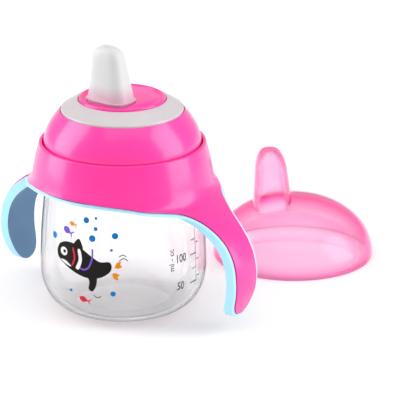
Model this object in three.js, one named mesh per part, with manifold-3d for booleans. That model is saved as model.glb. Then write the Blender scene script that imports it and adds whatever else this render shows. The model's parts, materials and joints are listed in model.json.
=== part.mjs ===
// Spill-resistant sippy cup for a toddler: a clear rounded cup, a two-handled grip ring with a soft
// liner, a screw ring with a soft drinking spout and slit valve, a lip ring, a seal and a domed cap.
// Millimetres, +Z up. The origin is the centre of the cup's base on the table, the handles lie along
// X, and the spout leans towards -Y. The cap stands on the table beside the cup.
import * as THREE from "three";
import { mergeVertices } from "three/addons/utils/BufferGeometryUtils.js";
import Module from "manifold-3d";

const wasm = await Module();
wasm.setup();

// ---------------------------------------------------------------- driving dimensions
const GAP = 0.3; // between pieces that touch and stay still on each other
const TURN_GAP = 0.5; // radial clearance between pieces that turn on each other
const ROUND_STEPS = 48; // facets round a large full turn
const SMALL_STEPS = 32; // facets round a small full turn
const THREAD_STEPS = 26; // steps of a thread in one turn
const MERGE = 1e-4; // corners closer than this are one corner

const NECK_RADIUS = 29.9; // the size every other round size is built out from
const NECK_WALL = 1.8;
const NECK_HEIGHT = 19.9; // above the shoulder
const MOUTH_ROUND = 0.6;

const SHOULDER_HEIGHT = 57.6; // the size every other height is built up from
const SHOULDER_WIDTH = 3.9; // flat ledge the handle ring rests on
const CUP_BULGE = 2.7; // how far the cup's side swells past its shoulder
const CUP_BASE_RADIUS = 21;
const CUP_BELLY_HEIGHT = 19; // where the rounded bottom meets the side
const CUP_WALL = 1.6;
const BELLY_BASE_PULL = 0.62; // share of the corner's width its curve runs flat along the base
const BELLY_SIDE_PULL = 0.42; // share of the belly's height its curve starts to turn in at
const SIDE_PULL = 0.45; // share of the side's height it keeps the belly's width for
const SHOULDER_TURN = [0.9, 7]; // the side's last handle, out from and down from the shoulder's edge
const SHOULDER_ROUND = 0.8; // of the edge between the side and the ledge
const NECK_BLEND = 2; // below the shoulder's underside, where the neck's bore meets the inside

const THREAD_PITCH = 6;
const THREAD_DEPTH = 1.3;
const THREAD_ROOT_WIDTH = 2.6;
const THREAD_CREST_WIDTH = 1.2;
const THREAD_LIFT = 7; // of the neck's thread above the shoulder, at angle 0
const NECK_THREAD_TURNS = 1.6;
const RING_THREAD_TURNS = 1.3;
const RING_THREAD_START = 0.2; // turn where the ring's thread begins
const THREAD_SINK = 0.4; // how far a thread's root reaches into its wall
const THREAD_FADE = 0.08; // turn over which a thread's end runs out
const THREAD_END_SINK = 0.6; // share of the sink a thread's end stays buried by

const FLANGE_THICKNESS = 2.4;
const FLANGE_OVERLAP = 1.7; // how far the flange reaches under the collar
const COLLAR_HEIGHT = 18; // of its top rim above the shoulder
const COLLAR_RIM = 1.5; // width of its top rim
const COLLAR_FLARE = 3.7; // how much wider the collar is at its foot
const COLLAR_ROUND = 0.7;
const COLLAR_ROOT = 0.8; // how far the collar reaches down into the flange's thickness
const OVERLAP = 0.1; // by which shapes that are joined reach into each other
const PAST = 1; // by which a cutting shape reaches past what it cuts

const LINER_THICKNESS = 2.4;
const SHELL_THICKNESS = 2;
const LINER_BORDER = 1.7; // width of the liner's edge left showing round the shell
const BORDER_RECESS = 0.6; // how far the liner's edge sits below the shell's face
const HANDLE_SET_BACK = 2.4; // the handles' middle plane behind the cup's axis
const HANDLE_HALF_WIDTH = 8.9;
const HANDLE_TIP_HEIGHT = 6.9;
const FINGER_ROOM = 29.5; // from the cup's side out to the handles' outer face
const EDGE_STEPS = 28;
const SWEEP_STEPS = 14;
// The handles' outer face from the collar to the tip: shares of the way out and of the way down.
const SWEEP = [
  [-0.02, -0.07],
  [0.02, -0.004],
  [0.11, 0.047],
  [0.29, 0.103],
  [0.48, 0.172],
  [0.66, 0.247],
  [0.82, 0.339],
  [0.945, 0.465],
  [1, 0.613],
  [0.985, 0.761],
  [0.9, 0.9],
  [0.857, 0.959],
  [0.81, 1.057],
];

// The ring's lower edge seen along X, from its side in to a handle's side: out from the collar's
// foot, then out from a handle's side, each with its drop below the shoulder.
const EDGE_AT_COLLAR = [
  [10, -0.3],
  [2.4, -0.2],
  [-1.1, 0.3],
];
const EDGE_AT_HANDLE = [
  [24.7, 1.3],
  [20.1, 2.6],
  [13.1, 3.8],
  [7.2, 5.1],
  [3.5, 7.6],
  [1.4, 11],
];
// A handle's side: out from its half width, with the share of the way down to its tip.
const HANDLE_SIDE = [
  [0.3, 0.31],
  [0, 0.465],
  [0, 0.66],
  [-0.6, 0.789],
];
// The rounded tip: shares of the half width, with the height above the tip.
const HANDLE_TIP = [
  [0.79, 5.6],
  [0.54, 2.1],
  [0.27, 0.5],
];
const OUTLINE_PAST = 10; // by which the outline runs on above the neck
const LINER_CEILING = 0.4; // share of the flange's thickness the liner reaches up beside it

const SKIRT_WALL = 2.7;
const DOME_DRAW_IN = 7.7; // from the skirt in to the lip ring's outer edge
const DOME_RISE = 14.2; // from the collar's rim up to the lip ring's outer edge
const DOME_WALL = 2.2;
const DOME_TURN_LOW = [0.2, 4.6]; // the dome's first handle, in from the skirt and up from the collar
const DOME_TURN_HIGH = [3.4, 9.4]; // its second handle, the same way
const DOME_INSIDE_EDGE = 1.4; // inside the dome, in from the lip ring's outer edge
const DOME_INSIDE_RISE = 2; // of the upright wall inside the dome above the seal

const LIP_PROUD = 0.7; // how far the lip ring's outer edge stands above the dome
const LIP_THICKNESS = 2;
const LIP_WIDTH = 7.5;
const LIP_RISE = 4;
const LIP_CHAMFER = 0.4; // of its outer edge
const LIP_BULGE = 0.35; // of its face between its edges
const LIP_INNER_CHAMFER = 0.3;
const LIP_REVEAL = 0.2; // of the crest's wall above the lip ring's inner edge

const CREST_WIDTH = 1.8; // from the lip ring in to the crest
const CREST_RISE = 0.8;
const GROOVE_WIDTH = 1.2; // from the crest in to the bottom of the groove inside it
const GROOVE_DEPTH = 0.6;
const FLOOR_EDGE = 1.3; // from the groove in to the edge of the raised floor
const FLOOR_RISE = 0.9; // of the floor's middle above the crest
const FLOOR_THICKNESS = 2.8;
// The raised floor between its edge and its middle: shares of its radius and of its rise.
const FLOOR_STEPS = [
  [1, 0.4],
  [0.6, 0.8],
];
const POCKET_WIDTH = 1.9; // from the lip ring in to the side of the pocket under the floor

const SPOUT_CLEARANCE = 0.6; // between the spout's flange and the side of that pocket
const SPOUT_LEAN = 1.7; // offset reached at its tip, towards -Y
const SPOUT_HALF_LENGTH = 10.4; // along X at the foot
const SPOUT_HALF_DEPTH = 7.2; // along Y at the foot
const SPOUT_TIP_HALF_LENGTH = 7.5;
const SPOUT_TIP_HALF_DEPTH = 5;
const SPOUT_HEIGHT = 24.2; // above the raised floor
const SPOUT_CROWN = 6.4; // height over which its top rounds over
const SPOUT_WALL = 1.7;
const SPOUT_FLANGE_WIDTH = 1;
const SPOUT_FLANGE_THICKNESS = 1.8;
const SPOUT_SQUARENESS = 3; // superellipse exponent of its section
const SPOUT_TAPER = 0.85; // exponent of its narrowing with height
const TIP_ROUNDNESS = 0.8; // exponent of its top's narrowing
const SLOT_LENGTH = 6;
const SLOT_WIDTH = 1.4;
const NOTCH_DEPTH = 1.4;
const NOTCH_RADIUS = 4.2;

const VALVE_WALL = 1.2;
const VALVE_PLUG_HEIGHT = 5;
const VALVE_RIM = 1.8;
const VALVE_SLIT = 0.8;

const SEAL_WIDTH = 3.6;
const SEAL_THICKNESS = 2;

const CAP_WALL = 1.4;
const CAP_OVERHANG = 0.1; // of its rim past the collar's rim it rests on
const CAP_ROOM = 7.7; // from the crest up to the dome's top when it is on
const CAP_RIM_HEIGHT = 2; // of its upright rim below the dome
const CAP_BEAD = 0.5;
const BEAD_HEIGHT = 0.8;
const BEAD_RUN_OUT = 0.6; // height over which the bead fades into the wall
const CAP_NESTING = 4.7; // how far its rim reaches in under the handles' widest circle
const CAP_BEARING = 1.32; // radians, where it stands, from +X
const CAP_TURN = -0.9; // radians, the way its cover faces where it stands
const COVER_GAP = 1.5; // between the cover's inside and the spout's foot
const COVER_ROOM = 6.1; // from the spout's tip up to the cover's top when it is on
const COVER_CROWN = 9; // height over which the cover's top rounds over
const COVER_TIP_SHRINK = 3.6; // how much narrower the cover is at its tip than at its foot
const COVER_SHIFT = 1.3; // of the cover's foot past the spout's, the way the spout leans
const COVER_LEAN = 1.9; // further shift reached at its tip
const TAB_WIDTH = 9;
const TAB_REACH = 1.6;
const TAB_HEIGHT = 2.2;
const TAB_ROOT = 2; // how far the tab starts inside the rim

// ---------------------------------------------------------------- worked out from them
const NECK_INNER_RADIUS = NECK_RADIUS - NECK_WALL;
const NECK_TOP = SHOULDER_HEIGHT + NECK_HEIGHT;
const CUP_SHOULDER_RADIUS = NECK_RADIUS + SHOULDER_WIDTH;
const CUP_RADIUS = CUP_SHOULDER_RADIUS + CUP_BULGE;
const THREAD_START_HEIGHT = SHOULDER_HEIGHT + THREAD_LIFT;
const SKIRT_BORE = NECK_RADIUS + THREAD_DEPTH + TURN_GAP;
const SKIRT_RADIUS = SKIRT_BORE + SKIRT_WALL;
const COLLAR_BORE = SKIRT_RADIUS + TURN_GAP;
const COLLAR_TOP = SHOULDER_HEIGHT + COLLAR_HEIGHT;
const COLLAR_TOP_RADIUS = COLLAR_BORE + COLLAR_RIM;
const COLLAR_BOTTOM_RADIUS = COLLAR_TOP_RADIUS + COLLAR_FLARE;
const FLANGE_BOTTOM = SHOULDER_HEIGHT + GAP;
const FLANGE_TOP = FLANGE_BOTTOM + FLANGE_THICKNESS;
const FLANGE_BORE = NECK_RADIUS + TURN_GAP;
const FLANGE_OUTER_RADIUS = COLLAR_BORE + FLANGE_OVERLAP;
const HANDLE_REACH = CUP_RADIUS + FINGER_ROOM;
const LINER_TOP_INSET = SHELL_THICKNESS + GAP;
const LINER_INSET = LINER_TOP_INSET + LINER_THICKNESS;
const SKIRT_BOTTOM = FLANGE_TOP + GAP;
const SEAL_BOTTOM = NECK_TOP + GAP;
const SEAL_TOP = SEAL_BOTTOM + SEAL_THICKNESS;
const RING_CEILING = SEAL_TOP + GAP; // underside of the screw ring over the seal
const DOME_EDGE_RADIUS = SKIRT_RADIUS - DOME_DRAW_IN;
const DOME_EDGE_HEIGHT = COLLAR_TOP + DOME_RISE;
const LIP_INNER_RADIUS = DOME_EDGE_RADIUS - LIP_WIDTH;
const LIP_OUTER_HEIGHT = DOME_EDGE_HEIGHT + LIP_PROUD;
const LIP_INNER_HEIGHT = LIP_OUTER_HEIGHT + LIP_RISE;
const CREST_RADIUS = LIP_INNER_RADIUS - CREST_WIDTH;
const CREST_HEIGHT = LIP_INNER_HEIGHT + CREST_RISE;
const FLOOR_HEIGHT = CREST_HEIGHT + FLOOR_RISE;
const FLOOR_UNDERSIDE = FLOOR_HEIGHT - FLOOR_THICKNESS;
const POCKET_RADIUS = LIP_INNER_RADIUS - POCKET_WIDTH;
const SPOUT_CORNER = 0.5 ** (1 / SPOUT_SQUARENESS); // share of a half size where its section is at 45 degrees
const FLANGE_CORNER_X = (SPOUT_HALF_LENGTH + SPOUT_FLANGE_WIDTH) * SPOUT_CORNER;
const FLANGE_CORNER_Y = (SPOUT_HALF_DEPTH + SPOUT_FLANGE_WIDTH) * SPOUT_CORNER;
const SPOUT_OFFSET = Math.sqrt(POCKET_RADIUS ** 2 - FLANGE_CORNER_X ** 2) - FLANGE_CORNER_Y - SPOUT_CLEARANCE;
const SPOUT_FOOT = FLOOR_HEIGHT;
const SPOUT_TOP = FLOOR_HEIGHT + SPOUT_HEIGHT;
const SPOUT_SHOULDER_HEIGHT = SPOUT_TOP - SPOUT_CROWN;
const SPOUT_FLANGE_TOP = FLOOR_UNDERSIDE - GAP;
const SPOUT_FLANGE_BOTTOM = SPOUT_FLANGE_TOP - SPOUT_FLANGE_THICKNESS;
const CAP_RADIUS = COLLAR_TOP_RADIUS + CAP_OVERHANG;
const CAP_DOME_HEIGHT = CREST_HEIGHT - COLLAR_TOP + CAP_ROOM;
const CAP_TOP = SPOUT_TOP - COLLAR_TOP + COVER_ROOM;
const CAP_DISTANCE = HANDLE_REACH + CAP_RADIUS - CAP_NESTING;

// ---------------------------------------------------------------- geometry helpers
const v2 = (x, y) => new THREE.Vector2(x, y);

// A three.js geometry as a manifold solid, with shared corners merged.
function solidOf(geometry) {
  const bare = geometry.clone();
  bare.deleteAttribute("normal");
  bare.deleteAttribute("uv");
  const merged = mergeVertices(bare, MERGE);
  return new wasm.Manifold(
    new wasm.Mesh({
      numProp: 3,
      vertProperties: merged.attributes.position.array,
      triVerts: new Uint32Array(merged.index.array),
    }),
  );
}

// A manifold solid back as a three.js geometry.
function geometryOf(solid) {
  const mesh = solid.getMesh();
  const geometry = new THREE.BufferGeometry();
  geometry.setAttribute("position", new THREE.BufferAttribute(mesh.vertProperties, 3));
  geometry.setIndex(new THREE.BufferAttribute(mesh.triVerts, 1));
  geometry.computeVertexNormals();
  return geometry;
}

// A profile of (radius, height) points turned about Z into a closed surface that faces out.
function turned(points, steps = ROUND_STEPS) {
  const profile = THREE.ShapeUtils.area(points) < 0 ? [...points].reverse() : [...points];
  if (profile[0].x > MERGE) profile.push(profile[0].clone());
  const lathe = new THREE.LatheGeometry(profile, steps);
  lathe.rotateX(Math.PI / 2);
  return lathe;
}

// A copy of an open curve's points, moved sideways to the left of its direction.
function offsetPoints(points, distance) {
  return points.map((point, i) => {
    const before = points[Math.max(i - 1, 0)];
    const after = points[Math.min(i + 1, points.length - 1)];
    const along = after.clone().sub(before).normalize();
    return v2(point.x - along.y * distance, point.y + along.x * distance);
  });
}

// A flat outline given in (Y, Z), extruded along X between two places.
function extrudedAlongX(points, from, to) {
  const geometry = new THREE.ExtrudeGeometry(new THREE.Shape(points), {
    depth: to - from,
    bevelEnabled: false,
  });
  const toX = new THREE.Matrix4().makeBasis(
    new THREE.Vector3(0, 1, 0),
    new THREE.Vector3(0, 0, 1),
    new THREE.Vector3(1, 0, 0),
  );
  geometry.applyMatrix4(toX);
  geometry.translate(from, 0, 0);
  return geometry;
}

// Each vertex moved by a function that changes a Vector3 in place.
function warped(geometry, change) {
  const position = geometry.getAttribute("position");
  const vertex = new THREE.Vector3();
  for (let i = 0; i < position.count; i += 1) {
    vertex.fromBufferAttribute(position, i);
    change(vertex);
    position.setXYZ(i, vertex.x, vertex.y, vertex.z);
  }
  return geometry;
}

// A box by its lowest and highest corners.
function boxBetween(low, high) {
  const size = high.clone().sub(low);
  const geometry = new THREE.BoxGeometry(size.x, size.y, size.z);
  geometry.translate(low.x + size.x / 2, low.y + size.y / 2, low.z + size.z / 2);
  return geometry;
}

function meshOf(name, geometry, colour, roughness, extra = {}) {
  const material = new THREE.MeshStandardMaterial({ color: colour, roughness, metalness: 0, ...extra });
  const mesh = new THREE.Mesh(geometry, material);
  mesh.name = name;
  return mesh;
}

// ---------------------------------------------------------------- threads
// A right-handed helical ridge. side is 1 for a ridge that stands out of its wall and -1 for one
// that stands into a bore. phase is its height at angle 0.
function threadRidge(wallRadius, side, phase, firstTurn, turns) {
  const section = new THREE.Shape([
    v2(-THREAD_SINK, -THREAD_ROOT_WIDTH / 2),
    v2(THREAD_DEPTH, -THREAD_CREST_WIDTH / 2),
    v2(THREAD_DEPTH, THREAD_CREST_WIDTH / 2),
    v2(-THREAD_SINK, THREAD_ROOT_WIDTH / 2),
  ]);
  const steps = Math.ceil(turns * THREAD_STEPS);
  const bar = new THREE.ExtrudeGeometry(section, { depth: turns, steps, bevelEnabled: false });
  const wound = warped(bar, (vertex) => {
    const toEnd = Math.min(vertex.z, turns - vertex.z);
    const height = Math.min(1, toEnd / THREAD_FADE);
    const out = THREE.MathUtils.lerp(-THREAD_SINK * THREAD_END_SINK, vertex.x, vertex.x > 0 ? height : 1);
    const angle = 2 * Math.PI * (firstTurn + vertex.z);
    const radius = wallRadius + side * out;
    const rise = phase + THREAD_PITCH * (firstTurn + vertex.z) + vertex.y;
    vertex.set(radius * Math.cos(angle), radius * Math.sin(angle), rise);
  });
  const solid = solidOf(wound);
  return solid.volume() < 0 ? solidOf(flipped(wound)) : solid;
}

// The same surface with its faces turned the other way.
function flipped(geometry) {
  const turnedFaces = geometry.index ? geometry.toNonIndexed() : geometry.clone();
  const position = turnedFaces.getAttribute("position");
  const one = new THREE.Vector3();
  const two = new THREE.Vector3();
  for (let i = 0; i < position.count; i += 3) {
    one.fromBufferAttribute(position, i);
    two.fromBufferAttribute(position, i + 1);
    position.setXYZ(i, two.x, two.y, two.z);
    position.setXYZ(i + 1, one.x, one.y, one.z);
  }
  return turnedFaces;
}

// ---------------------------------------------------------------- cup
// The cup's rounded side from the edge of its base up to the shoulder, drawn in by inset.
function bellyPoints(inset, steps) {
  const base = CUP_BASE_RADIUS;
  const widest = CUP_RADIUS - inset;
  const shoulder = CUP_SHOULDER_RADIUS - inset;
  const cornerReach = (widest - base) * BELLY_BASE_PULL;
  const cornerRise = (CUP_BELLY_HEIGHT - inset) * BELLY_SIDE_PULL;
  const corner = new THREE.CubicBezierCurve(
    v2(base, inset),
    v2(base + cornerReach, inset),
    v2(widest, inset + cornerRise),
    v2(widest, CUP_BELLY_HEIGHT),
  );
  const top = SHOULDER_HEIGHT - inset;
  const side = new THREE.CubicBezierCurve(
    v2(widest, CUP_BELLY_HEIGHT),
    v2(widest, CUP_BELLY_HEIGHT + (top - CUP_BELLY_HEIGHT) * SIDE_PULL),
    v2(shoulder + SHOULDER_TURN[0], top - SHOULDER_TURN[1]),
    v2(shoulder, top - SHOULDER_ROUND),
  );
  return [...corner.getPoints(steps), ...side.getPoints(steps).slice(1)];
}

function cupBody() {
  const outside = [
    v2(0, 0),
    ...bellyPoints(0, 5),
    v2(CUP_SHOULDER_RADIUS - SHOULDER_ROUND, SHOULDER_HEIGHT),
    v2(NECK_RADIUS, SHOULDER_HEIGHT),
    v2(NECK_RADIUS, NECK_TOP - MOUTH_ROUND),
    v2(NECK_RADIUS - MOUTH_ROUND, NECK_TOP),
    v2(NECK_INNER_RADIUS + MOUTH_ROUND, NECK_TOP),
  ];
  const inside = [
    v2(NECK_INNER_RADIUS, NECK_TOP - MOUTH_ROUND),
    v2(NECK_INNER_RADIUS, SHOULDER_HEIGHT - CUP_WALL - NECK_BLEND),
    ...bellyPoints(CUP_WALL, 4).reverse().slice(1),
    v2(0, CUP_WALL),
  ];
  const shell = solidOf(turned([...outside, ...inside]));
  const thread = threadRidge(NECK_RADIUS, 1, THREAD_START_HEIGHT, 0, NECK_THREAD_TURNS);
  return meshOf("cup_body", geometryOf(shell.add(thread)), 0xf4f6f7, 0.08, { transparent: true, opacity: 0.35 });
}

// ---------------------------------------------------------------- handle ring and its liner
// The outer face of the collar and of the handles that hang from it, as (radius, height), top down.
function gripCurve() {
  const points = SWEEP.map(([out, down]) =>
    v2(
      THREE.MathUtils.lerp(COLLAR_BOTTOM_RADIUS, HANDLE_REACH, out),
      THREE.MathUtils.lerp(SHOULDER_HEIGHT, HANDLE_TIP_HEIGHT, down),
    ),
  );
  return new THREE.SplineCurve(points).getSpacedPoints(SWEEP_STEPS);
}

// The lower edge of the ring and its two handles seen along X, as (Y, Z), drawn in by inset.
function gripOutline(inset) {
  const tip = HANDLE_TIP_HEIGHT;
  const half = HANDLE_HALF_WIDTH;
  const edge = SHOULDER_HEIGHT;
  const curve = new THREE.SplineCurve([
    ...EDGE_AT_COLLAR.map(([out, drop]) => v2(COLLAR_BOTTOM_RADIUS + out, edge - drop)),
    ...EDGE_AT_HANDLE.map(([out, drop]) => v2(half + out, edge - drop)),
    ...HANDLE_SIDE.map(([out, down]) => v2(half + out, THREE.MathUtils.lerp(edge, tip, down))),
    ...HANDLE_TIP.map(([share, rise]) => v2(half * share, tip + rise)),
    v2(0, tip),
  ]);
  const inward = offsetPoints(curve.getSpacedPoints(EDGE_STEPS), -inset);
  const right = inward.filter((point) => point.x > OVERLAP / 2);
  const left = right.map((point) => v2(-point.x, point.y)).reverse();
  const past = COLLAR_BOTTOM_RADIUS + EDGE_AT_COLLAR[0][0];
  const top = NECK_TOP + OUTLINE_PAST;
  const all = [v2(past, top), ...right, v2(0, tip + inset), ...left, v2(-past, top)];
  return all.map((point) => v2(point.x + HANDLE_SET_BACK, point.y));
}

// A turned shell that hangs between two insets of the grip curve, from the collar to the handle tips.
function gripShell(outerInset, innerInset) {
  const curve = gripCurve();
  const outer = offsetPoints(curve, -outerInset);
  const inner = offsetPoints(curve, -innerInset);
  return solidOf(turned([...outer.reverse(), ...inner]));
}

// A solid disc about the axis, between two heights.
function discSolid(radius, low, high) {
  return solidOf(turned([v2(0, low), v2(radius, low), v2(radius, high), v2(0, high)]));
}

function outlineSolid(inset) {
  const past = HANDLE_REACH + OUTLINE_PAST;
  return solidOf(extrudedAlongX(gripOutline(inset), -past, past));
}

function collarSolid() {
  const seam = gripCurve()[0];
  const low = FLANGE_TOP - COLLAR_ROOT;
  return solidOf(
    turned([
      v2(COLLAR_BORE, low),
      v2(seam.x - SHELL_THICKNESS / 2, low),
      seam,
      v2(COLLAR_TOP_RADIUS, COLLAR_TOP - COLLAR_ROUND),
      v2(COLLAR_TOP_RADIUS - COLLAR_ROUND / 2, COLLAR_TOP),
      v2(COLLAR_BORE, COLLAR_TOP),
    ]),
  );
}

function flangeSolid() {
  return solidOf(
    turned([
      v2(FLANGE_BORE, FLANGE_BOTTOM),
      v2(FLANGE_OUTER_RADIUS, FLANGE_BOTTOM),
      v2(FLANGE_OUTER_RADIUS, FLANGE_TOP),
      v2(FLANGE_BORE, FLANGE_TOP),
    ]),
  );
}

function handleRing() {
  const bands = gripShell(0, SHELL_THICKNESS).intersect(outlineSolid(LINER_BORDER));
  const core = discSolid(COLLAR_BORE, 0, COLLAR_TOP);
  const solid = bands.subtract(core).add(collarSolid()).add(flangeSolid());
  return meshOf("handle_ring", geometryOf(solid), 0xff3c9a, 0.28);
}

function handleLiner() {
  const whole = gripShell(BORDER_RECESS, LINER_INSET).intersect(outlineSolid(0));
  const seat = gripShell(-LINER_THICKNESS, LINER_TOP_INSET).intersect(outlineSolid(LINER_BORDER - GAP));
  const middle = discSolid(FLANGE_OUTER_RADIUS + GAP, 0, COLLAR_TOP);
  const ceiling = FLANGE_BOTTOM + FLANGE_THICKNESS * LINER_CEILING;
  const above = discSolid(HANDLE_REACH, ceiling, COLLAR_TOP);
  const solid = whole.subtract(seat).subtract(middle).subtract(above);
  return meshOf("handle_liner", geometryOf(solid), 0xa9e2fb, 0.45);
}

// ---------------------------------------------------------------- screw ring and lip ring
// The pink dome's outer face from the top of the skirt to the lip ring's outer edge.
function domePoints(steps) {
  const curve = new THREE.CubicBezierCurve(
    v2(SKIRT_RADIUS, COLLAR_TOP),
    v2(SKIRT_RADIUS - DOME_TURN_LOW[0], COLLAR_TOP + DOME_TURN_LOW[1]),
    v2(SKIRT_RADIUS - DOME_TURN_HIGH[0], COLLAR_TOP + DOME_TURN_HIGH[1]),
    v2(DOME_EDGE_RADIUS + GAP, DOME_EDGE_HEIGHT),
  );
  return curve.getPoints(steps);
}

// The groove and the raised floor inside the crest, from the crest to the axis.
function floorPoints() {
  const groove = CREST_RADIUS - GROOVE_WIDTH;
  const edge = groove - FLOOR_EDGE;
  return [
    v2(CREST_RADIUS, CREST_HEIGHT),
    v2(groove, CREST_HEIGHT - GROOVE_DEPTH),
    ...FLOOR_STEPS.map(([share, rise]) => v2(edge * share, CREST_HEIGHT + FLOOR_RISE * rise)),
    v2(0, FLOOR_HEIGHT),
  ];
}

// A cylinder of the spout's section, its two half sizes given, between two heights.
function spoutSectionSolid(halfLength, halfDepth, low, high) {
  const rod = turned([v2(0, low), v2(1, low), v2(1, high), v2(0, high)], SMALL_STEPS);
  return solidOf(warped(rod, (vertex) => toSpoutSection(vertex, halfLength, halfDepth)));
}

// A vertex on the unit circle moved to the spout's superellipse section, offset to its place.
function toSpoutSection(vertex, halfLength, halfDepth, lean = 0) {
  const angle = Math.atan2(vertex.y, vertex.x);
  const radius = Math.hypot(vertex.x, vertex.y);
  const power = 2 / SPOUT_SQUARENESS;
  const x = Math.sign(Math.cos(angle)) * Math.abs(Math.cos(angle)) ** power;
  const y = Math.sign(Math.sin(angle)) * Math.abs(Math.sin(angle)) ** power;
  vertex.x = radius * halfLength * x;
  vertex.y = radius * halfDepth * y - SPOUT_OFFSET - lean;
}

// The cone the lip ring is seated on: its height at a radius.
function seatHeight(radius) {
  return THREE.MathUtils.mapLinear(
    radius,
    DOME_EDGE_RADIUS + GAP,
    LIP_INNER_RADIUS - GAP,
    LIP_OUTER_HEIGHT - LIP_THICKNESS - GAP,
    LIP_INNER_HEIGHT - LIP_THICKNESS - GAP,
  );
}

function screwRing() {
  const seatOuter = DOME_EDGE_RADIUS + GAP;
  const seatInner = LIP_INNER_RADIUS - GAP;
  const ceilingRadius = DOME_EDGE_RADIUS - GAP;
  const profile = [
    v2(0, FLOOR_UNDERSIDE),
    v2(POCKET_RADIUS, FLOOR_UNDERSIDE),
    v2(POCKET_RADIUS, seatHeight(POCKET_RADIUS) - DOME_WALL),
    v2(DOME_EDGE_RADIUS - DOME_INSIDE_EDGE, seatHeight(DOME_EDGE_RADIUS) - DOME_WALL),
    v2(ceilingRadius, RING_CEILING + DOME_INSIDE_RISE),
    v2(ceilingRadius, RING_CEILING),
    v2(SKIRT_BORE, RING_CEILING),
    v2(SKIRT_BORE, SKIRT_BOTTOM),
    v2(SKIRT_RADIUS, SKIRT_BOTTOM),
    ...domePoints(5),
    v2(seatOuter, seatHeight(seatOuter)),
    v2(seatInner, seatHeight(seatInner)),
    v2(seatInner, LIP_INNER_HEIGHT + LIP_REVEAL),
    ...floorPoints(),
  ];
  const hole = spoutSectionSolid(
    SPOUT_HALF_LENGTH + GAP,
    SPOUT_HALF_DEPTH + GAP,
    FLOOR_UNDERSIDE - PAST,
    FLOOR_HEIGHT + PAST,
  );
  const phase = THREAD_START_HEIGHT - THREAD_PITCH / 2;
  const thread = threadRidge(SKIRT_BORE, -1, phase, RING_THREAD_START, RING_THREAD_TURNS);
  const solid = solidOf(turned(profile)).subtract(hole).add(thread);
  return meshOf("screw_ring", geometryOf(solid), 0xff2f93, 0.22);
}

function lipRing() {
  const middle = (DOME_EDGE_RADIUS + LIP_INNER_RADIUS) / 2;
  const profile = [
    v2(DOME_EDGE_RADIUS, seatHeight(DOME_EDGE_RADIUS) + GAP),
    v2(DOME_EDGE_RADIUS, LIP_OUTER_HEIGHT - LIP_CHAMFER),
    v2(DOME_EDGE_RADIUS - LIP_CHAMFER, LIP_OUTER_HEIGHT),
    v2(middle, (LIP_OUTER_HEIGHT + LIP_INNER_HEIGHT) / 2 + LIP_BULGE),
    v2(LIP_INNER_RADIUS + LIP_INNER_CHAMFER, LIP_INNER_HEIGHT),
    v2(LIP_INNER_RADIUS, LIP_INNER_HEIGHT - LIP_INNER_CHAMFER),
    v2(LIP_INNER_RADIUS, seatHeight(LIP_INNER_RADIUS) + GAP),
  ];
  return meshOf("lip_ring", turned(profile), 0xe4e6e8, 0.35);
}

// ---------------------------------------------------------------- spout and valve
// The spout's outer half sizes and lean at a height above its foot.
function spoutSizeAt(height) {
  const share = THREE.MathUtils.clamp((height - SPOUT_FOOT) / (SPOUT_SHOULDER_HEIGHT - SPOUT_FOOT), 0, 1);
  return {
    length: THREE.MathUtils.lerp(SPOUT_HALF_LENGTH, SPOUT_TIP_HALF_LENGTH, share ** SPOUT_TAPER),
    depth: THREE.MathUtils.lerp(SPOUT_HALF_DEPTH, SPOUT_TIP_HALF_DEPTH, share ** SPOUT_TAPER),
    lean: SPOUT_LEAN * Math.max(0, (height - SPOUT_FOOT) / (SPOUT_TOP - SPOUT_FOOT)),
  };
}

// A turned unit profile stretched to the spout's tapering section, thinner by inset all round.
function spoutShaped(profile, inset) {
  return solidOf(
    warped(turned(profile, SMALL_STEPS), (vertex) => {
      const size = spoutSizeAt(vertex.z);
      toSpoutSection(vertex, size.length - inset, size.depth - inset, size.lean);
    }),
  );
}

// The rounded top of the spout as (share of its half size, height), from its shoulder to the axis.
function tipPoints(shoulder, top, steps) {
  return Array.from({ length: steps }, (_, i) => {
    const angle = ((i + 1) / steps) * (Math.PI / 2);
    return v2(Math.cos(angle) ** TIP_ROUNDNESS, shoulder + (top - shoulder) * Math.sin(angle));
  });
}

function spout() {
  const rises = [0, 0.25, 0.5, 0.75, 1];
  const side = rises.map((rise) => v2(1, THREE.MathUtils.lerp(SPOUT_FOOT, SPOUT_SHOULDER_HEIGHT, rise)));
  const root = SPOUT_FLANGE_TOP - OVERLAP;
  const outer = spoutShaped(
    [v2(0, root), v2(1, root), ...side, ...tipPoints(SPOUT_SHOULDER_HEIGHT, SPOUT_TOP, 6)],
    0,
  );
  const below = SPOUT_FLANGE_BOTTOM - PAST;
  const cavity = spoutShaped(
    [v2(0, below), v2(1, below), ...side, ...tipPoints(SPOUT_SHOULDER_HEIGHT, SPOUT_TOP - SPOUT_WALL, 4)],
    SPOUT_WALL,
  );
  const flange = spoutSectionSolid(
    SPOUT_HALF_LENGTH + SPOUT_FLANGE_WIDTH,
    SPOUT_HALF_DEPTH + SPOUT_FLANGE_WIDTH,
    SPOUT_FLANGE_BOTTOM,
    SPOUT_FLANGE_TOP,
  );
  const tipY = -SPOUT_OFFSET - SPOUT_LEAN;
  const slot = solidOf(
    boxBetween(
      new THREE.Vector3(-SLOT_LENGTH / 2, tipY - SLOT_WIDTH / 2, SPOUT_SHOULDER_HEIGHT),
      new THREE.Vector3(SLOT_LENGTH / 2, tipY + SLOT_WIDTH / 2, SPOUT_TOP + PAST),
    ),
  );
  const notch = new THREE.CylinderGeometry(NOTCH_RADIUS, NOTCH_RADIUS, 2 * SPOUT_HALF_DEPTH, SMALL_STEPS);
  notch.translate(0, tipY, SPOUT_TOP - NOTCH_DEPTH + NOTCH_RADIUS);
  const solid = outer.add(flange).subtract(cavity).subtract(slot).subtract(solidOf(notch));
  return meshOf("spout", geometryOf(solid), 0xe9ebec, 0.4);
}

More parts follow.
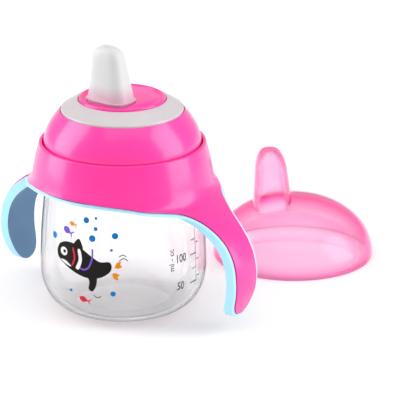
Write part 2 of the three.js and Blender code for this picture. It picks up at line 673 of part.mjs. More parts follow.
function spillValve() {
  const bottom = SPOUT_FLANGE_BOTTOM - GAP - VALVE_RIM;
  const rimTop = bottom + VALVE_RIM;
  const plugTop = rimTop + VALVE_PLUG_HEIGHT;
  const plugLength = SPOUT_HALF_LENGTH - SPOUT_WALL - GAP;
  const plugDepth = SPOUT_HALF_DEPTH - SPOUT_WALL - GAP;
  const rim = spoutSectionSolid(
    SPOUT_HALF_LENGTH + SPOUT_FLANGE_WIDTH - GAP,
    SPOUT_HALF_DEPTH + SPOUT_FLANGE_WIDTH - GAP,
    bottom,
    rimTop,
  );
  const plug = spoutSectionSolid(plugLength, plugDepth, rimTop - OVERLAP, plugTop);
  const well = spoutSectionSolid(plugLength - VALVE_WALL, plugDepth - VALVE_WALL, bottom - PAST, plugTop - VALVE_WALL);
  const slit = solidOf(
    boxBetween(
      new THREE.Vector3(-plugLength / 2, -SPOUT_OFFSET - VALVE_SLIT / 2, rimTop),
      new THREE.Vector3(plugLength / 2, -SPOUT_OFFSET + VALVE_SLIT / 2, plugTop + PAST),
    ),
  );
  return meshOf("spill_valve", geometryOf(rim.add(plug).subtract(well).subtract(slit)), 0xf3f0ea, 0.5);
}

function sealRing() {
  const outer = SKIRT_BORE - GAP;
  const inner = outer - SEAL_WIDTH;
  const profile = [
    v2(inner, SEAL_BOTTOM),
    v2(outer, SEAL_BOTTOM),
    v2(outer, SEAL_TOP),
    v2(inner, SEAL_TOP),
  ];
  return meshOf("seal_ring", turned(profile), 0xf2f2f0, 0.55);
}

// ---------------------------------------------------------------- cap
function capDomePoints(radius, height, steps) {
  return Array.from({ length: steps + 1 }, (_, i) => {
    const angle = (i / steps) * (Math.PI / 2);
    return v2(radius * Math.cos(angle), CAP_RIM_HEIGHT + (height - CAP_RIM_HEIGHT) * Math.sin(angle));
  });
}

// The cover over the spout, standing at the spout's place, grown or shrunk all round by inset.
function coverSolid(inset, foot) {
  const halfLength = SPOUT_HALF_LENGTH + COVER_GAP + CAP_WALL - inset;
  const halfDepth = SPOUT_HALF_DEPTH + COVER_GAP + CAP_WALL - inset;
  const top = CAP_TOP - inset;
  const shoulder = CAP_TOP - COVER_CROWN;
  const side = [v2(0, foot), v2(1, foot), v2(1, CAP_DOME_HEIGHT), v2(1, shoulder)];
  const profile = [...side, ...tipPoints(shoulder, top, 5)];
  return solidOf(
    warped(turned(profile, SMALL_STEPS), (vertex) => {
      const share = THREE.MathUtils.clamp((vertex.z - foot) / (top - foot), 0, 1);
      const shrink = COVER_TIP_SHRINK * share;
      toSpoutSection(vertex, halfLength - shrink, halfDepth - shrink, COVER_SHIFT + COVER_LEAN * share);
    }),
  );
}

function cap() {
  const edge = [v2(0, 0), v2(CAP_RADIUS - GAP, 0), v2(CAP_RADIUS, 2 * GAP)];
  const outer = [...edge, ...capDomePoints(CAP_RADIUS, CAP_DOME_HEIGHT, 7)];
  const innerRadius = CAP_RADIUS - CAP_WALL;
  const inner = [
    v2(0, -PAST),
    v2(innerRadius - CAP_BEAD, -PAST),
    v2(innerRadius - CAP_BEAD, BEAD_HEIGHT),
    v2(innerRadius, BEAD_HEIGHT + BEAD_RUN_OUT),
    ...capDomePoints(innerRadius, CAP_DOME_HEIGHT - CAP_WALL, 6),
  ];
  const tab = solidOf(
    boxBetween(
      new THREE.Vector3(-TAB_WIDTH / 2, CAP_RADIUS - TAB_ROOT, 0),
      new THREE.Vector3(TAB_WIDTH / 2, CAP_RADIUS + TAB_REACH, TAB_HEIGHT),
    ),
  );
  const coverFoot = CAP_DOME_HEIGHT / 2;
  const hollow = solidOf(turned(inner)).add(coverSolid(CAP_WALL, coverFoot - CAP_WALL));
  const solid = solidOf(turned(outer)).add(coverSolid(0, coverFoot)).add(tab).subtract(hollow);
  const mesh = meshOf("cap", geometryOf(solid), 0xff7fbe, 0.12, { transparent: true, opacity: 0.6 });
  mesh.position.set(CAP_DISTANCE * Math.cos(CAP_BEARING), CAP_DISTANCE * Math.sin(CAP_BEARING), 0);
  mesh.rotation.z = CAP_TURN;
  return mesh;
}

// ---------------------------------------------------------------- the whole cup
const sippyCup = new THREE.Group();
sippyCup.add(
  cupBody(),
  handleRing(),
  handleLiner(),
  screwRing(),
  lipRing(),
  sealRing(),
  spout(),
  spillValve(),
  cap(),
);

export default sippyCup;
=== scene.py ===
"""Looks for a toddler's sippy cup: smooth moulded pieces, soft finishes, prints, light and camera."""

import json
import logging
import math
from dataclasses import dataclass, field
from enum import Enum
from typing import Callable, Optional, Sequence

import bmesh
import bpy
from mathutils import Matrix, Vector


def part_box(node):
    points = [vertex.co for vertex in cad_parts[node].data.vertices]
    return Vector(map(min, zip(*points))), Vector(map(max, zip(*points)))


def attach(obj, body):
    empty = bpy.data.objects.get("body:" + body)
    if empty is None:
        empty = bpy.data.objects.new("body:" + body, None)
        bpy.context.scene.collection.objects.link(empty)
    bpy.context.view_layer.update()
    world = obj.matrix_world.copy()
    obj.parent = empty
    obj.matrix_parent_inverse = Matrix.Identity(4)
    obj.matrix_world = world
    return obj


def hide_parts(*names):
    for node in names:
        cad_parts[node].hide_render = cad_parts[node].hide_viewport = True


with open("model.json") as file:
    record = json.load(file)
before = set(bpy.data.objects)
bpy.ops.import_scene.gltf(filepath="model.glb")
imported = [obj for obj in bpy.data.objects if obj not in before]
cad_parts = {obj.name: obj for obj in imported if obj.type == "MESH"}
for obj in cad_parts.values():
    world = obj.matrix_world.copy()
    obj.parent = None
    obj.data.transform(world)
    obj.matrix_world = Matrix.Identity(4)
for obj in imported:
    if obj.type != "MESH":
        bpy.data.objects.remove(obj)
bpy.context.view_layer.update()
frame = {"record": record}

MM = 0.001
LOG = logging.getLogger("sippy_cup")

SAME_POINT = MM * 0.001
SAME_CORNER = MM * 0.002
SLIVER = MM * 0.0005
CURVE_CUTS = 24
DISC_CUTS = 24
ROUND_FACETS = 192
FINE_FACETS = 256
GRAIN_DEPTH = 0.0004
COAT_ROUGHNESS = 0.16
SOFT_DEPTH = 0.004

Piece = bpy.types.Object
Tree = bpy.types.NodeTree
Socket = bpy.types.NodeSocket
Point2 = tuple[float, float]
Colour = tuple[float, float, float]


# --------------------------------------------------------------------------- curves
def cubic(start: Point2, lead: Point2, follow: Point2, end: Point2, steps: int) -> list[Point2]:
    """Points along a cubic Bezier curve.

    Args:
        start: where it starts, as (radius, height).
        lead: the handle at its start.
        follow: the handle at its end.
        end: where it ends.
        steps: how many pieces the curve is cut into.

    Returns:
        The points, both ends included.
    """
    out = []
    for i in range(steps + 1):
        t = i / steps
        shares = ((1 - t) ** 3, 3 * t * (1 - t) ** 2, 3 * t * t * (1 - t), t**3)
        points = (start, lead, follow, end)
        out.append(tuple(sum(share * point[a] for share, point in zip(shares, points)) for a in (0, 1)))
    return out


def spline(points: Sequence[Point2], steps: int) -> list[Point2]:
    """A smooth curve through points, sampled at even lengths.

    Args:
        points: the points the curve passes through.
        steps: how many even pieces it is cut into.

    Returns:
        The sampled points, both ends included.
    """
    fine: list[Point2] = []
    last = len(points) - 1
    for i in range(last):
        p0, p1, p2, p3 = (points[max(0, min(last, k))] for k in (i - 1, i, i + 1, i + 2))
        for j in range(CURVE_CUTS):
            t = j / CURVE_CUTS
            fine.append(tuple(_catmull(p0[a], p1[a], p2[a], p3[a], t) for a in (0, 1)))
    fine.append(points[-1])
    lengths = [0.0]
    for a, b in zip(fine, fine[1:]):
        lengths.append(lengths[-1] + math.dist(a, b))
    out: list[Point2] = []
    k = 0
    for i in range(steps + 1):
        want = lengths[-1] * i / steps
        while k < len(lengths) - 2 and lengths[k + 1] < want:
            k += 1
        span = lengths[k + 1] - lengths[k] or 1.0
        share = (want - lengths[k]) / span
        out.append(tuple(fine[k][a] + (fine[k + 1][a] - fine[k][a]) * share for a in (0, 1)))
    return out


def _catmull(p0: float, p1: float, p2: float, p3: float, t: float) -> float:
    """One coordinate of a Catmull-Rom curve between p1 and p2."""
    return p1 + 0.5 * t * (p2 - p0 + t * (2 * p0 - 5 * p1 + 4 * p2 - p3 + t * (3 * (p1 - p2) + p3 - p0)))


def offset(points: Sequence[Point2], distance: float) -> list[Point2]:
    """The points moved sideways, to the left of the way they run.

    Args:
        points: an open run of points.
        distance: how far they move.

    Returns:
        The moved points.
    """
    out = []
    for i, (x, y) in enumerate(points):
        before = points[max(i - 1, 0)]
        after = points[min(i + 1, len(points) - 1)]
        dx, dy = after[0] - before[0], after[1] - before[1]
        size = math.hypot(dx, dy) or 1.0
        out.append((x - dy / size * distance, y + dx / size * distance))
    return out


def mix(a: float, b: float, share: float) -> float:
    """The value a share of the way from a to b."""
    return a + (b - a) * share


def circle(radius: float, middle: Point2 = (0.0, 0.0)) -> list[Point2]:
    """Points round a circle, back to the first."""
    turns = [math.tau * i / DISC_CUTS for i in range(DISC_CUTS + 1)]
    return [(radius * math.cos(turn) + middle[0], radius * math.sin(turn) + middle[1]) for turn in turns]


# --------------------------------------------------------------------------- modelling bench
@dataclass
class Ring:
    """One oval ring of a lofted piece, in millimetres."""

    height: float
    half_x: float
    half_y: float
    centre_y: float = 0.0


class Bench:
    """Edit-mode modelling steps that every piece is made with. Sizes come in millimetres."""

    @staticmethod
    def clear() -> None:
        """Leaves edit mode and deselects everything."""
        if bpy.context.mode != "OBJECT":
            bpy.ops.object.mode_set(mode="OBJECT")
        bpy.ops.object.select_all(action="DESELECT")

    @staticmethod
    def pick(obj: Piece) -> None:
        """Selects one object and makes it active."""
        Bench.clear()
        obj.select_set(True)
        bpy.context.view_layer.objects.active = obj

    @staticmethod
    def path(name: str, points: Sequence[tuple[float, float, float]]) -> Piece:
        """A chain of edges drawn by extruding one vertex from point to point.

        Args:
            name: the new object's name.
            points: where the chain goes, in millimetres.

        Returns:
            The object, still in edit mode with everything selected.
        """
        Bench.clear()
        bpy.ops.mesh.primitive_plane_add(size=MM, location=(0, 0, 0))
        obj = bpy.context.object
        obj.name = name
        bpy.ops.object.mode_set(mode="EDIT")
        bpy.ops.mesh.merge(type="CENTER")
        here = Vector(points[0]) * MM
        bpy.ops.transform.translate(value=here)
        for point in points[1:]:
            there = Vector(point) * MM
            bpy.ops.mesh.extrude_vertices_move(TRANSFORM_OT_translate={"value": there - here})
            here = there
        bpy.ops.mesh.select_all(action="SELECT")
        return obj

    @staticmethod
    def spun(
        name: str, profile: Sequence[Point2], steps: int = ROUND_FACETS, closed: bool = True
    ) -> Piece:
        """A profile spun all the way round the Z axis.

        Args:
            name: the new object's name.
            profile: points as (radius, height).
            steps: how many facets go round.
            closed: whether the profile runs back to its first point.

        Returns:
            The finished object, with its faces pointing outwards.
        """
        run = [(r, 0.0, z) for r, z in profile]
        if closed:
            run.append(run[0])
        obj = Bench.path(name, run)
        bpy.ops.mesh.remove_doubles(threshold=SAME_POINT)
        bpy.ops.mesh.select_all(action="SELECT")
        bpy.ops.mesh.spin(steps=steps, angle=math.tau, center=(0, 0, 0), axis=(0, 0, 1))
        Bench.finish_mesh()
        return obj

    @staticmethod
    def finish_mesh() -> None:
        """Merges doubles, drops slivers, turns the faces outwards and leaves edit mode."""
        bpy.ops.mesh.select_all(action="SELECT")
        bpy.ops.mesh.remove_doubles(threshold=SAME_CORNER)
        bpy.ops.mesh.dissolve_degenerate(threshold=SLIVER)
        bpy.ops.mesh.select_all(action="SELECT")
        bpy.ops.mesh.normals_make_consistent(inside=False)
        bpy.ops.object.mode_set(mode="OBJECT")

    @staticmethod
    def lofted(
        name: str, rings: Sequence[Ring], squareness: float, closed: bool, count: int = 96
    ) -> Piece:
        """Oval rings extruded one from the other.

        Args:
            name: the new object's name.
            rings: the rings in order.
            squareness: the exponent of the oval, 2 for an ellipse and more for squarer.
            closed: True to run back to the first ring, False to close both ends with faces.
            count: how many corners go round.

        Returns:
            The finished object, with its faces pointing outwards.
        """
        Bench.clear()
        fill = "NOTHING" if closed else "NGON"
        bpy.ops.mesh.primitive_circle_add(vertices=count, radius=1, fill_type=fill, location=(0, 0, 0))
        obj = bpy.context.object
        obj.name = name
        bpy.ops.object.mode_set(mode="EDIT")
        Bench._square_off(obj, squareness)
        here = rings[0]
        bpy.ops.transform.resize(value=(here.half_x * MM, here.half_y * MM, 1), center_override=(0, 0, 0))
        bpy.ops.transform.translate(value=(0, here.centre_y * MM, here.height * MM))
        chain = list(rings[1:]) + ([rings[0]] if closed else [])
        for ring in chain:
            step = (0, (ring.centre_y - here.centre_y) * MM, (ring.height - here.height) * MM)
            if closed:
                bpy.ops.mesh.extrude_edges_move(TRANSFORM_OT_translate={"value": step})
            else:
                bpy.ops.mesh.extrude_region_move(TRANSFORM_OT_translate={"value": step})
            bpy.ops.transform.resize(
                value=(ring.half_x / here.half_x, ring.half_y / here.half_y, 1),
                center_override=(0, ring.centre_y * MM, ring.height * MM),
            )
            here = ring
        Bench.finish_mesh()
        return obj

    @staticmethod
    def _square_off(obj: Piece, squareness: float) -> None:
        """Moves a unit circle's corners, one by one, out to a squarer oval."""
        mesh = bmesh.from_edit_mesh(obj.data)
        mesh.verts.ensure_lookup_table()
        power = 2 / squareness
        for i in range(len(mesh.verts)):
            mesh = bmesh.from_edit_mesh(obj.data)
            mesh.verts.ensure_lookup_table()
            vert = mesh.verts[i]
            x, y = vert.co.x, vert.co.y
            want = Vector((math.copysign(abs(x) ** power, x), math.copysign(abs(y) ** power, y), 0))
            bpy.ops.mesh.select_all(action="DESELECT")
            vert.select = True
            mesh.select_flush(True)
            bmesh.update_edit_mesh(obj.data)
            bpy.ops.transform.translate(value=want - vert.co)
        bpy.ops.mesh.select_all(action="SELECT")

    @staticmethod
    def filled(name: str, run: list[tuple[float, float, float]]) -> Piece:
        """A closed chain of edges filled with one face, still in edit mode."""
        obj = Bench.path(name, run + [run[0]])
        bpy.ops.mesh.remove_doubles(threshold=SAME_POINT)
        bpy.ops.mesh.select_all(action="SELECT")
        bpy.ops.mesh.edge_face_add()
        bpy.ops.mesh.select_all(action="SELECT")
        return obj

    @staticmethod
    def prism(name: str, outline: Sequence[Point2], from_x: float, to_x: float) -> Piece:
        """A flat outline in (Y, Z), filled and extruded along X.

        Args:
            name: the new object's name.
            outline: the outline's points, not closed.
            from_x: where it starts.
            to_x: where it ends.

        Returns:
            The finished object, with its faces pointing outwards.
        """
        obj = Bench.filled(name, [(from_x, y, z) for y, z in outline])
        bpy.ops.mesh.extrude_region_move(TRANSFORM_OT_translate={"value": ((to_x - from_x) * MM, 0, 0)})
        Bench.finish_mesh()
        return obj

    @staticmethod
    def cut(obj: Piece, tool: Piece, how: str) -> None:
        """Applies a boolean and throws the tool away.

        Args:
            obj: the piece that is changed.
            tool: the shape it is changed by.
            how: UNION, DIFFERENCE or INTERSECT.
        """
        Bench.pick(obj)
        step = obj.modifiers.new("join", "BOOLEAN")
        step.operation = how
        step.solver = "EXACT"
        step.object = tool
        bpy.ops.object.modifier_apply(modifier=step.name)
        bpy.data.objects.remove(tool, do_unlink=True)

    @staticmethod
    def dress(obj: Piece, material: bpy.types.Material, degrees: float) -> None:
        """Gives a piece its only material and smooths it, keeping edges sharper than an angle."""
        Bench.pick(obj)
        bpy.ops.object.shade_smooth_by_angle(angle=math.radians(degrees))
        bpy.ops.object.select_all(action="DESELECT")
        obj.data.materials.clear()
        obj.data.materials.append(material)

    @staticmethod
    def joined(name: str, parts: Sequence[Piece]) -> Piece:
        """Several objects made one."""
        Bench.clear()
        for part in parts:
            part.select_set(True)
        bpy.context.view_layer.objects.active = parts[0]
        if len(parts) > 1:
            bpy.ops.object.join()
        parts[0].name = name
        bpy.ops.object.select_all(action="DESELECT")
        return parts[0]


# --------------------------------------------------------------------------- finishes
class Ink(Enum):
    """Printing inks, as linear colours."""

    BLUE = (0.0, 0.2, 0.56)
    ORANGE = (0.86, 0.27, 0.005)
    PURPLE = (0.2, 0.09, 0.58)
    RED = (0.68, 0.02, 0.05)
    BLACK = (0.012, 0.009, 0.009)
    GREY = (0.1, 0.1, 0.11)
    WHITE = (0.9, 0.9, 0.9)


class NodeShop:
    """Shader node groups that several finishes share."""

    @staticmethod
    def feed(tree: Tree, node: bpy.types.Node, inputs: dict[str, object]) -> None:
        """Sets each named input of a node to a value, or links it to another node's output."""
        for name, value in inputs.items():
            if isinstance(value, Socket):
                tree.links.new(value, node.inputs[name])
            else:
                node.inputs[name].default_value = value

    @staticmethod
    def add(tree: Tree, kind: str, inputs: dict[str, object], **settings: str) -> bpy.types.Node:
        """A new shader node.

        Args:
            tree: the nodes it joins.
            kind: its type, without ShaderNode.
            inputs: a value or a socket for each input.
            settings: its own settings.

        Returns:
            The node.
        """
        node = tree.nodes.new(f"ShaderNode{kind}")
        for name, value in settings.items():
            setattr(node, name, value)
        NodeShop.feed(tree, node, inputs)
        return node

    @staticmethod
    def blend(tree: Tree, share: object, first: object, second: object) -> Socket:
        """The mix of two colours, which may be values or sockets."""
        inputs = {"Factor": share, "A": first, "B": second}
        return NodeShop.add(tree, "Mix", inputs, data_type="RGBA").outputs["Result"]

    @staticmethod
    def moulded_skin() -> Tree:
        """Fine moulding grain: a height for a bump and a faint uneven mask for gloss and colour."""
        found = bpy.data.node_groups.get("moulded_skin")
        if found:
            return found
        group = bpy.data.node_groups.new("moulded_skin", "ShaderNodeTree")
        for label, value in (("Grain Scale", 900.0), ("Flow Scale", 40.0)):
            socket = group.interface.new_socket(label, in_out="INPUT", socket_type="NodeSocketFloat")
            socket.default_value = value
        for label in ("Height", "Mask"):
            group.interface.new_socket(label, in_out="OUTPUT", socket_type="NodeSocketFloat")
        way_in = group.nodes.new("NodeGroupInput")
        way_out = group.nodes.new("NodeGroupOutput")
        place = NodeShop.add(group, "TexCoord", {}).outputs["Object"]
        waves = []
        for label, detail in (("Grain Scale", 3.0), ("Flow Scale", 2.0)):
            inputs = {"Vector": place, "Scale": way_in.outputs[label], "Detail": detail}
            waves.append(NodeShop.add(group, "TexNoise", inputs).outputs["Fac"])
        grain, flow = waves
        total = NodeShop.add(group, "Math", {}, operation="MULTIPLY_ADD")
        total.inputs[1].default_value = 3.0
        group.links.new(flow, total.inputs[0])
        group.links.new(grain, total.inputs[2])
        NodeShop.feed(group, way_out, {"Height": total.outputs["Value"], "Mask": flow})
        return group


@dataclass(frozen=True)
class Finish:
    """A moulded plastic or silicone finish. Colours are linear, heights in millimetres."""

    name: str
    colour: Colour
    shade: Colour
    roughness: float
    gloss_change: float = 0.06
    grain: float = 900.0
    flow: float = 40.0
    bump: float = 0.02
    coat: float = 0.0
    transmission: float = 0.0
    ior: float = 1.45
    alpha: float = 1.0
    soft: float = 0.0
    specular: float = 0.5
    # Foot tint: painted light and shade over the piece's foot, fading upwards between two heights.
    painted_foot_tint: Optional[Colour] = None
    painted_foot_from: float = 0.0
    painted_foot_to: float = 0.0
    absorb: Optional[Colour] = None
    absorb_density: float = 0.0
    # Edge colour and glow: painted where the piece is seen edge on, for the light its wall bends and soaks
    # up there.
    edge: Optional[Colour] = None
    painted_edge_from: float = 0.6
    painted_edge_to: float = 0.98
    painted_edge_glow: float = 0.0

    def material(self) -> bpy.types.Material:
        """The finish as a node material, built once.

        Returns:
            The material.
        """
        found = bpy.data.materials.get(self.name)
        if found:
            return found
        made = bpy.data.materials.new(self.name)
        made.use_nodes = True
        tree = made.node_tree
        shader = tree.nodes["Principled BSDF"]
        skin = tree.nodes.new("ShaderNodeGroup")
        skin.node_tree = NodeShop.moulded_skin()
        NodeShop.feed(tree, skin, {"Grain Scale": self.grain, "Flow Scale": self.flow})
        mask = skin.outputs["Mask"]
        colour = NodeShop.blend(tree, mask, (*self.colour, 1), (*self.shade, 1))
        # Painted light and shade over the foot, where a foot tint is set.
        if self.painted_foot_tint:
            colour = self._painted_foot(tree, colour)
        shader.inputs["Alpha"].default_value = self.alpha
        # Painted edge colour, and painted glow, where an edge colour is set.
        if self.edge:
            colour = self._painted_edges(tree, colour, shader)
        smooth, rough = max(0.0, self.roughness - self.gloss_change), self.roughness + self.gloss_change
        gloss = NodeShop.add(tree, "MapRange", {"Value": mask, "To Min": smooth, "To Max": rough})
        grain = {"Strength": self.bump, "Distance": GRAIN_DEPTH, "Height": skin.outputs["Height"]}
        bump = NodeShop.add(tree, "Bump", grain)
        inputs = {
            "Base Color": colour,
            "Roughness": gloss.outputs["Result"],
            "Normal": bump.outputs["Normal"],
            "IOR": self.ior,
            "Specular IOR Level": self.specular,
            "Coat Weight": self.coat,
            "Coat Roughness": COAT_ROUGHNESS,
            "Transmission Weight": self.transmission,
            "Subsurface Weight": self.soft,
            "Subsurface Radius": (1.0, 1.0, 1.0),
            "Subsurface Scale": SOFT_DEPTH,
        }
        NodeShop.feed(tree, shader, inputs)
        if self.absorb:
            depth = {"Color": (*self.absorb, 1), "Density": self.absorb_density}
            volume = NodeShop.add(tree, "VolumeAbsorption", depth).outputs["Volume"]
            NodeShop.feed(tree, tree.nodes["Material Output"], {"Volume": volume})
        return made

    def _painted_edges(
        self, tree: Tree, colour: Socket, shader: bpy.types.Node
    ) -> Socket:
        """Deepens a clear plastic's colour and raises its alpha where it is seen edge on: painted shade and
        colour for the light the wall bends and soaks up there, and a painted glow where one is set.

        Args:
            tree: the material's nodes.
            colour: the plastic's colour seen face on.
            shader: the shader whose alpha rises towards the edge.

        Returns:
            The colour with its deeper edge.
        """
        facing = NodeShop.add(tree, "LayerWeight", {"Blend": 0.5}).outputs["Facing"]
        inputs = {"Value": facing, "From Min": self.painted_edge_from, "From Max": self.painted_edge_to}
        rise = NodeShop.add(tree, "MapRange", inputs, interpolation_type="SMOOTHSTEP").outputs["Result"]
        body = NodeShop.add(tree, "MapRange", {"Value": rise, "To Min": self.alpha}).outputs["Result"]
        NodeShop.feed(tree, shader, {"Alpha": body})
        edge = (*self.edge, 1)
        # Painted glow: emission along the edge of a piece that is no lamp.
        if self.painted_edge_glow:
            glow = NodeShop.blend(tree, rise, (0, 0, 0, 1), edge)
            NodeShop.feed(tree, shader, {"Emission Color": glow, "Emission Strength": self.painted_edge_glow})
        return NodeShop.blend(tree, rise, colour, edge)

    def _painted_foot(self, tree: Tree, colour: Socket) -> Socket:
        """The colour with a painted tint over its foot that fades upwards between two heights: painted
        light and shade from what lies at the foot.
        """
        place = NodeShop.add(tree, "TexCoord", {}).outputs["Object"]
        height = NodeShop.add(tree, "SeparateXYZ", {"Vector": place}).outputs["Z"]
        low, high = self.painted_foot_from * MM, self.painted_foot_to * MM
        inputs = {"Value": height, "From Min": low, "From Max": high, "To Min": 1.0, "To Max": 0.0}
        fade = NodeShop.add(tree, "MapRange", inputs, interpolation_type="SMOOTHSTEP").outputs["Result"]
        return NodeShop.blend(tree, fade, colour, (*self.painted_foot_tint, 1))


def ink(colour: Ink) -> bpy.types.Material:
    """A printed ink as a material, a little uneven like a pad print."""
    return Finish(
        name=f"ink_{colour.name.lower()}",
        colour=colour.value,
        shade=tuple(c * 0.82 for c in colour.value),
        roughness=0.6,
        grain=1800.0,
        flow=160.0,
        bump=0.01,
        specular=0.15,
    ).material()


PINK_HANDLE = Finish(
    "pink_handle_plastic",
    (1.0, 0.022, 0.33),
    (0.97, 0.018, 0.31),
    0.34,
    gloss_change=0.02,
    coat=0.6,
    bump=0.008,
)
PINK_RING = Finish(
    "pink_ring_plastic", (1.0, 0.03, 0.35), (0.97, 0.025, 0.33),
    0.3, gloss_change=0.02, coat=0.6, bump=0.006,
)
BLUE_RIM = Finish(
    "blue_soft_rim", (0.44, 0.82, 0.98), (0.40, 0.78, 0.96),
    0.5, grain=1500.0, flow=70.0, bump=0.05, soft=0.1,
)
# The liner's blue, darker: painted shade for its inward faces, which are the same blue as the rim.
BLUE_PAINTED_SHADE = Finish(
    "blue_liner_painted_shade", (0.15, 0.30, 0.48), (0.12, 0.26, 0.44),
    0.6, grain=1500.0, flow=70.0, bump=0.06, soft=0.1,
)
LIP_SILICONE = Finish(
    "lip_silicone",
    (0.60, 0.56, 0.58),
    (0.52, 0.48, 0.50),
    0.3,
    gloss_change=0.03,
    grain=1200.0,
    soft=0.25,
    coat=0.3,
)
SPOUT_SILICONE = Finish(
    "drinking_spout_silicone",
    (0.65, 0.65, 0.65),
    (0.60, 0.60, 0.605),
    0.36,
    gloss_change=0.03,
    grain=1200.0,
    soft=0.2,
    # Pinker and a little darker from its foot up to 105 mm: painted pink light from the ring beneath, seen
    # through the translucent silicone.
    painted_foot_tint=(0.60, 0.36, 0.46),
    painted_foot_from=96.0,
    painted_foot_to=105.0,
)
WHITE_SILICONE = Finish(
    "white_silicone", (0.82, 0.81, 0.78), (0.76, 0.75, 0.72), 0.5, grain=1400.0, bump=0.03, soft=0.2
)
CLEAR_CUP = Finish(
    "clear_cup_plastic",
    (1.0, 1.0, 1.0),
    (0.985, 0.99, 0.995),
    0.02,
    gloss_change=0.015,
    bump=0.002,
    transmission=1.0,
    ior=1.28,
    alpha=0.3,
    # Dark grey where the wall is seen edge on: painted shade lines along the walls.
    edge=(0.06, 0.063, 0.068),
    painted_edge_from=0.6,
    painted_edge_to=0.84,
)
PINK_CLEAR = Finish(
    "pink_clear_plastic",
    (1.0, 0.66, 0.86),
    (1.0, 0.61, 0.84),
    0.05,
    gloss_change=0.02,
    bump=0.003,
    transmission=1.0,
    ior=1.2,
    alpha=0.58,
    coat=0.7,
    # Deep pink edge on: partly the plastic's own pink seen through more wall, partly painted, with a faint
    # painted glow.
    edge=(1.0, 0.02, 0.36),
    painted_edge_from=0.3,
    painted_edge_to=0.75,
    painted_edge_glow=0.14,
    # Deeper pink over the lowest 8 mm: painted shade and pink glow at the cap's foot.
    painted_foot_tint=(1.0, 0.2, 0.58),
    painted_foot_from=0.0,
    painted_foot_to=8.0,
    absorb=(1.0, 0.12, 0.52),
    absorb_density=80.0,
)


# --------------------------------------------------------------------------- cup
@dataclass
class ClearCup:
    """The clear cup: rounded bottom, side, shoulder and neck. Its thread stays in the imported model."""

    base: float = 21.0
    widest: float = 36.5
    belly: float = 19.0
    shoulder_radius: float = 33.8
    shoulder: float = 57.6
    wall: float = 1.6
    neck: float = 29.9
    neck_wall: float = 1.8
    mouth_round: float = 0.6
    mouth_edge: float = 0.18
    base_pull: float = 0.62
    belly_pull: float = 0.42
    wall_pull: float = 0.45
    side_steps: int = 26
    neck_top: float = field(default_factory=lambda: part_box("cup_body")[1][2] / MM)

    def side(self, inset: float) -> list[Point2]:
        """The side from the edge of the base up to the shoulder, drawn in by inset."""
        widest, shoulder = self.widest - inset, self.shoulder_radius - inset
        top = self.shoulder - inset
        corner = cubic(
            (self.base, inset), (self.base + (widest - self.base) * self.base_pull, inset),
            (widest, inset + (self.belly - inset) * self.belly_pull), (widest, self.belly),
            self.side_steps,
        )
        wall = cubic(
            (widest, self.belly), (widest, self.belly + (top - self.belly) * self.wall_pull),
            (shoulder + 0.9, top - 7), (shoulder, top - 0.8), self.side_steps,
        )
        return corner + wall[1:]

    def build(self) -> Piece:
        """The cup as one closed shell.

        Returns:
            The piece.
        """
        inner, under = self.neck - self.neck_wall, self.shoulder - self.wall
        bend, high = self.shoulder_radius, self.shoulder
        top, curl, edge = self.neck_top, self.mouth_round, self.mouth_edge
        profile = [(0.0, 0.0), (self.base * 0.5, 0.0), *self.side(0)]
        profile += cubic(
            (bend - 0.3, high - 0.25), (bend - 0.5, high), (bend - 0.9, high), (bend - 1.4, high), 4
        )
        profile += [(self.neck, high), (self.neck, top - curl), (self.neck - edge, top - edge)]
        profile += [(self.neck - curl, top), (inner + curl, top), (inner + edge, top - edge)]
        profile += [(inner, top - curl), (inner, under - 2), *reversed(self.side(self.wall)[:-1])]
        profile += [(self.base * 0.5, self.wall), (0.0, self.wall)]
        cup = Bench.spun("clear_cup", profile, closed=False)
        Bench.dress(cup, CLEAR_CUP.material(), 40)
        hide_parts("cup_body")
        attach(cup, "cup")
        return cup


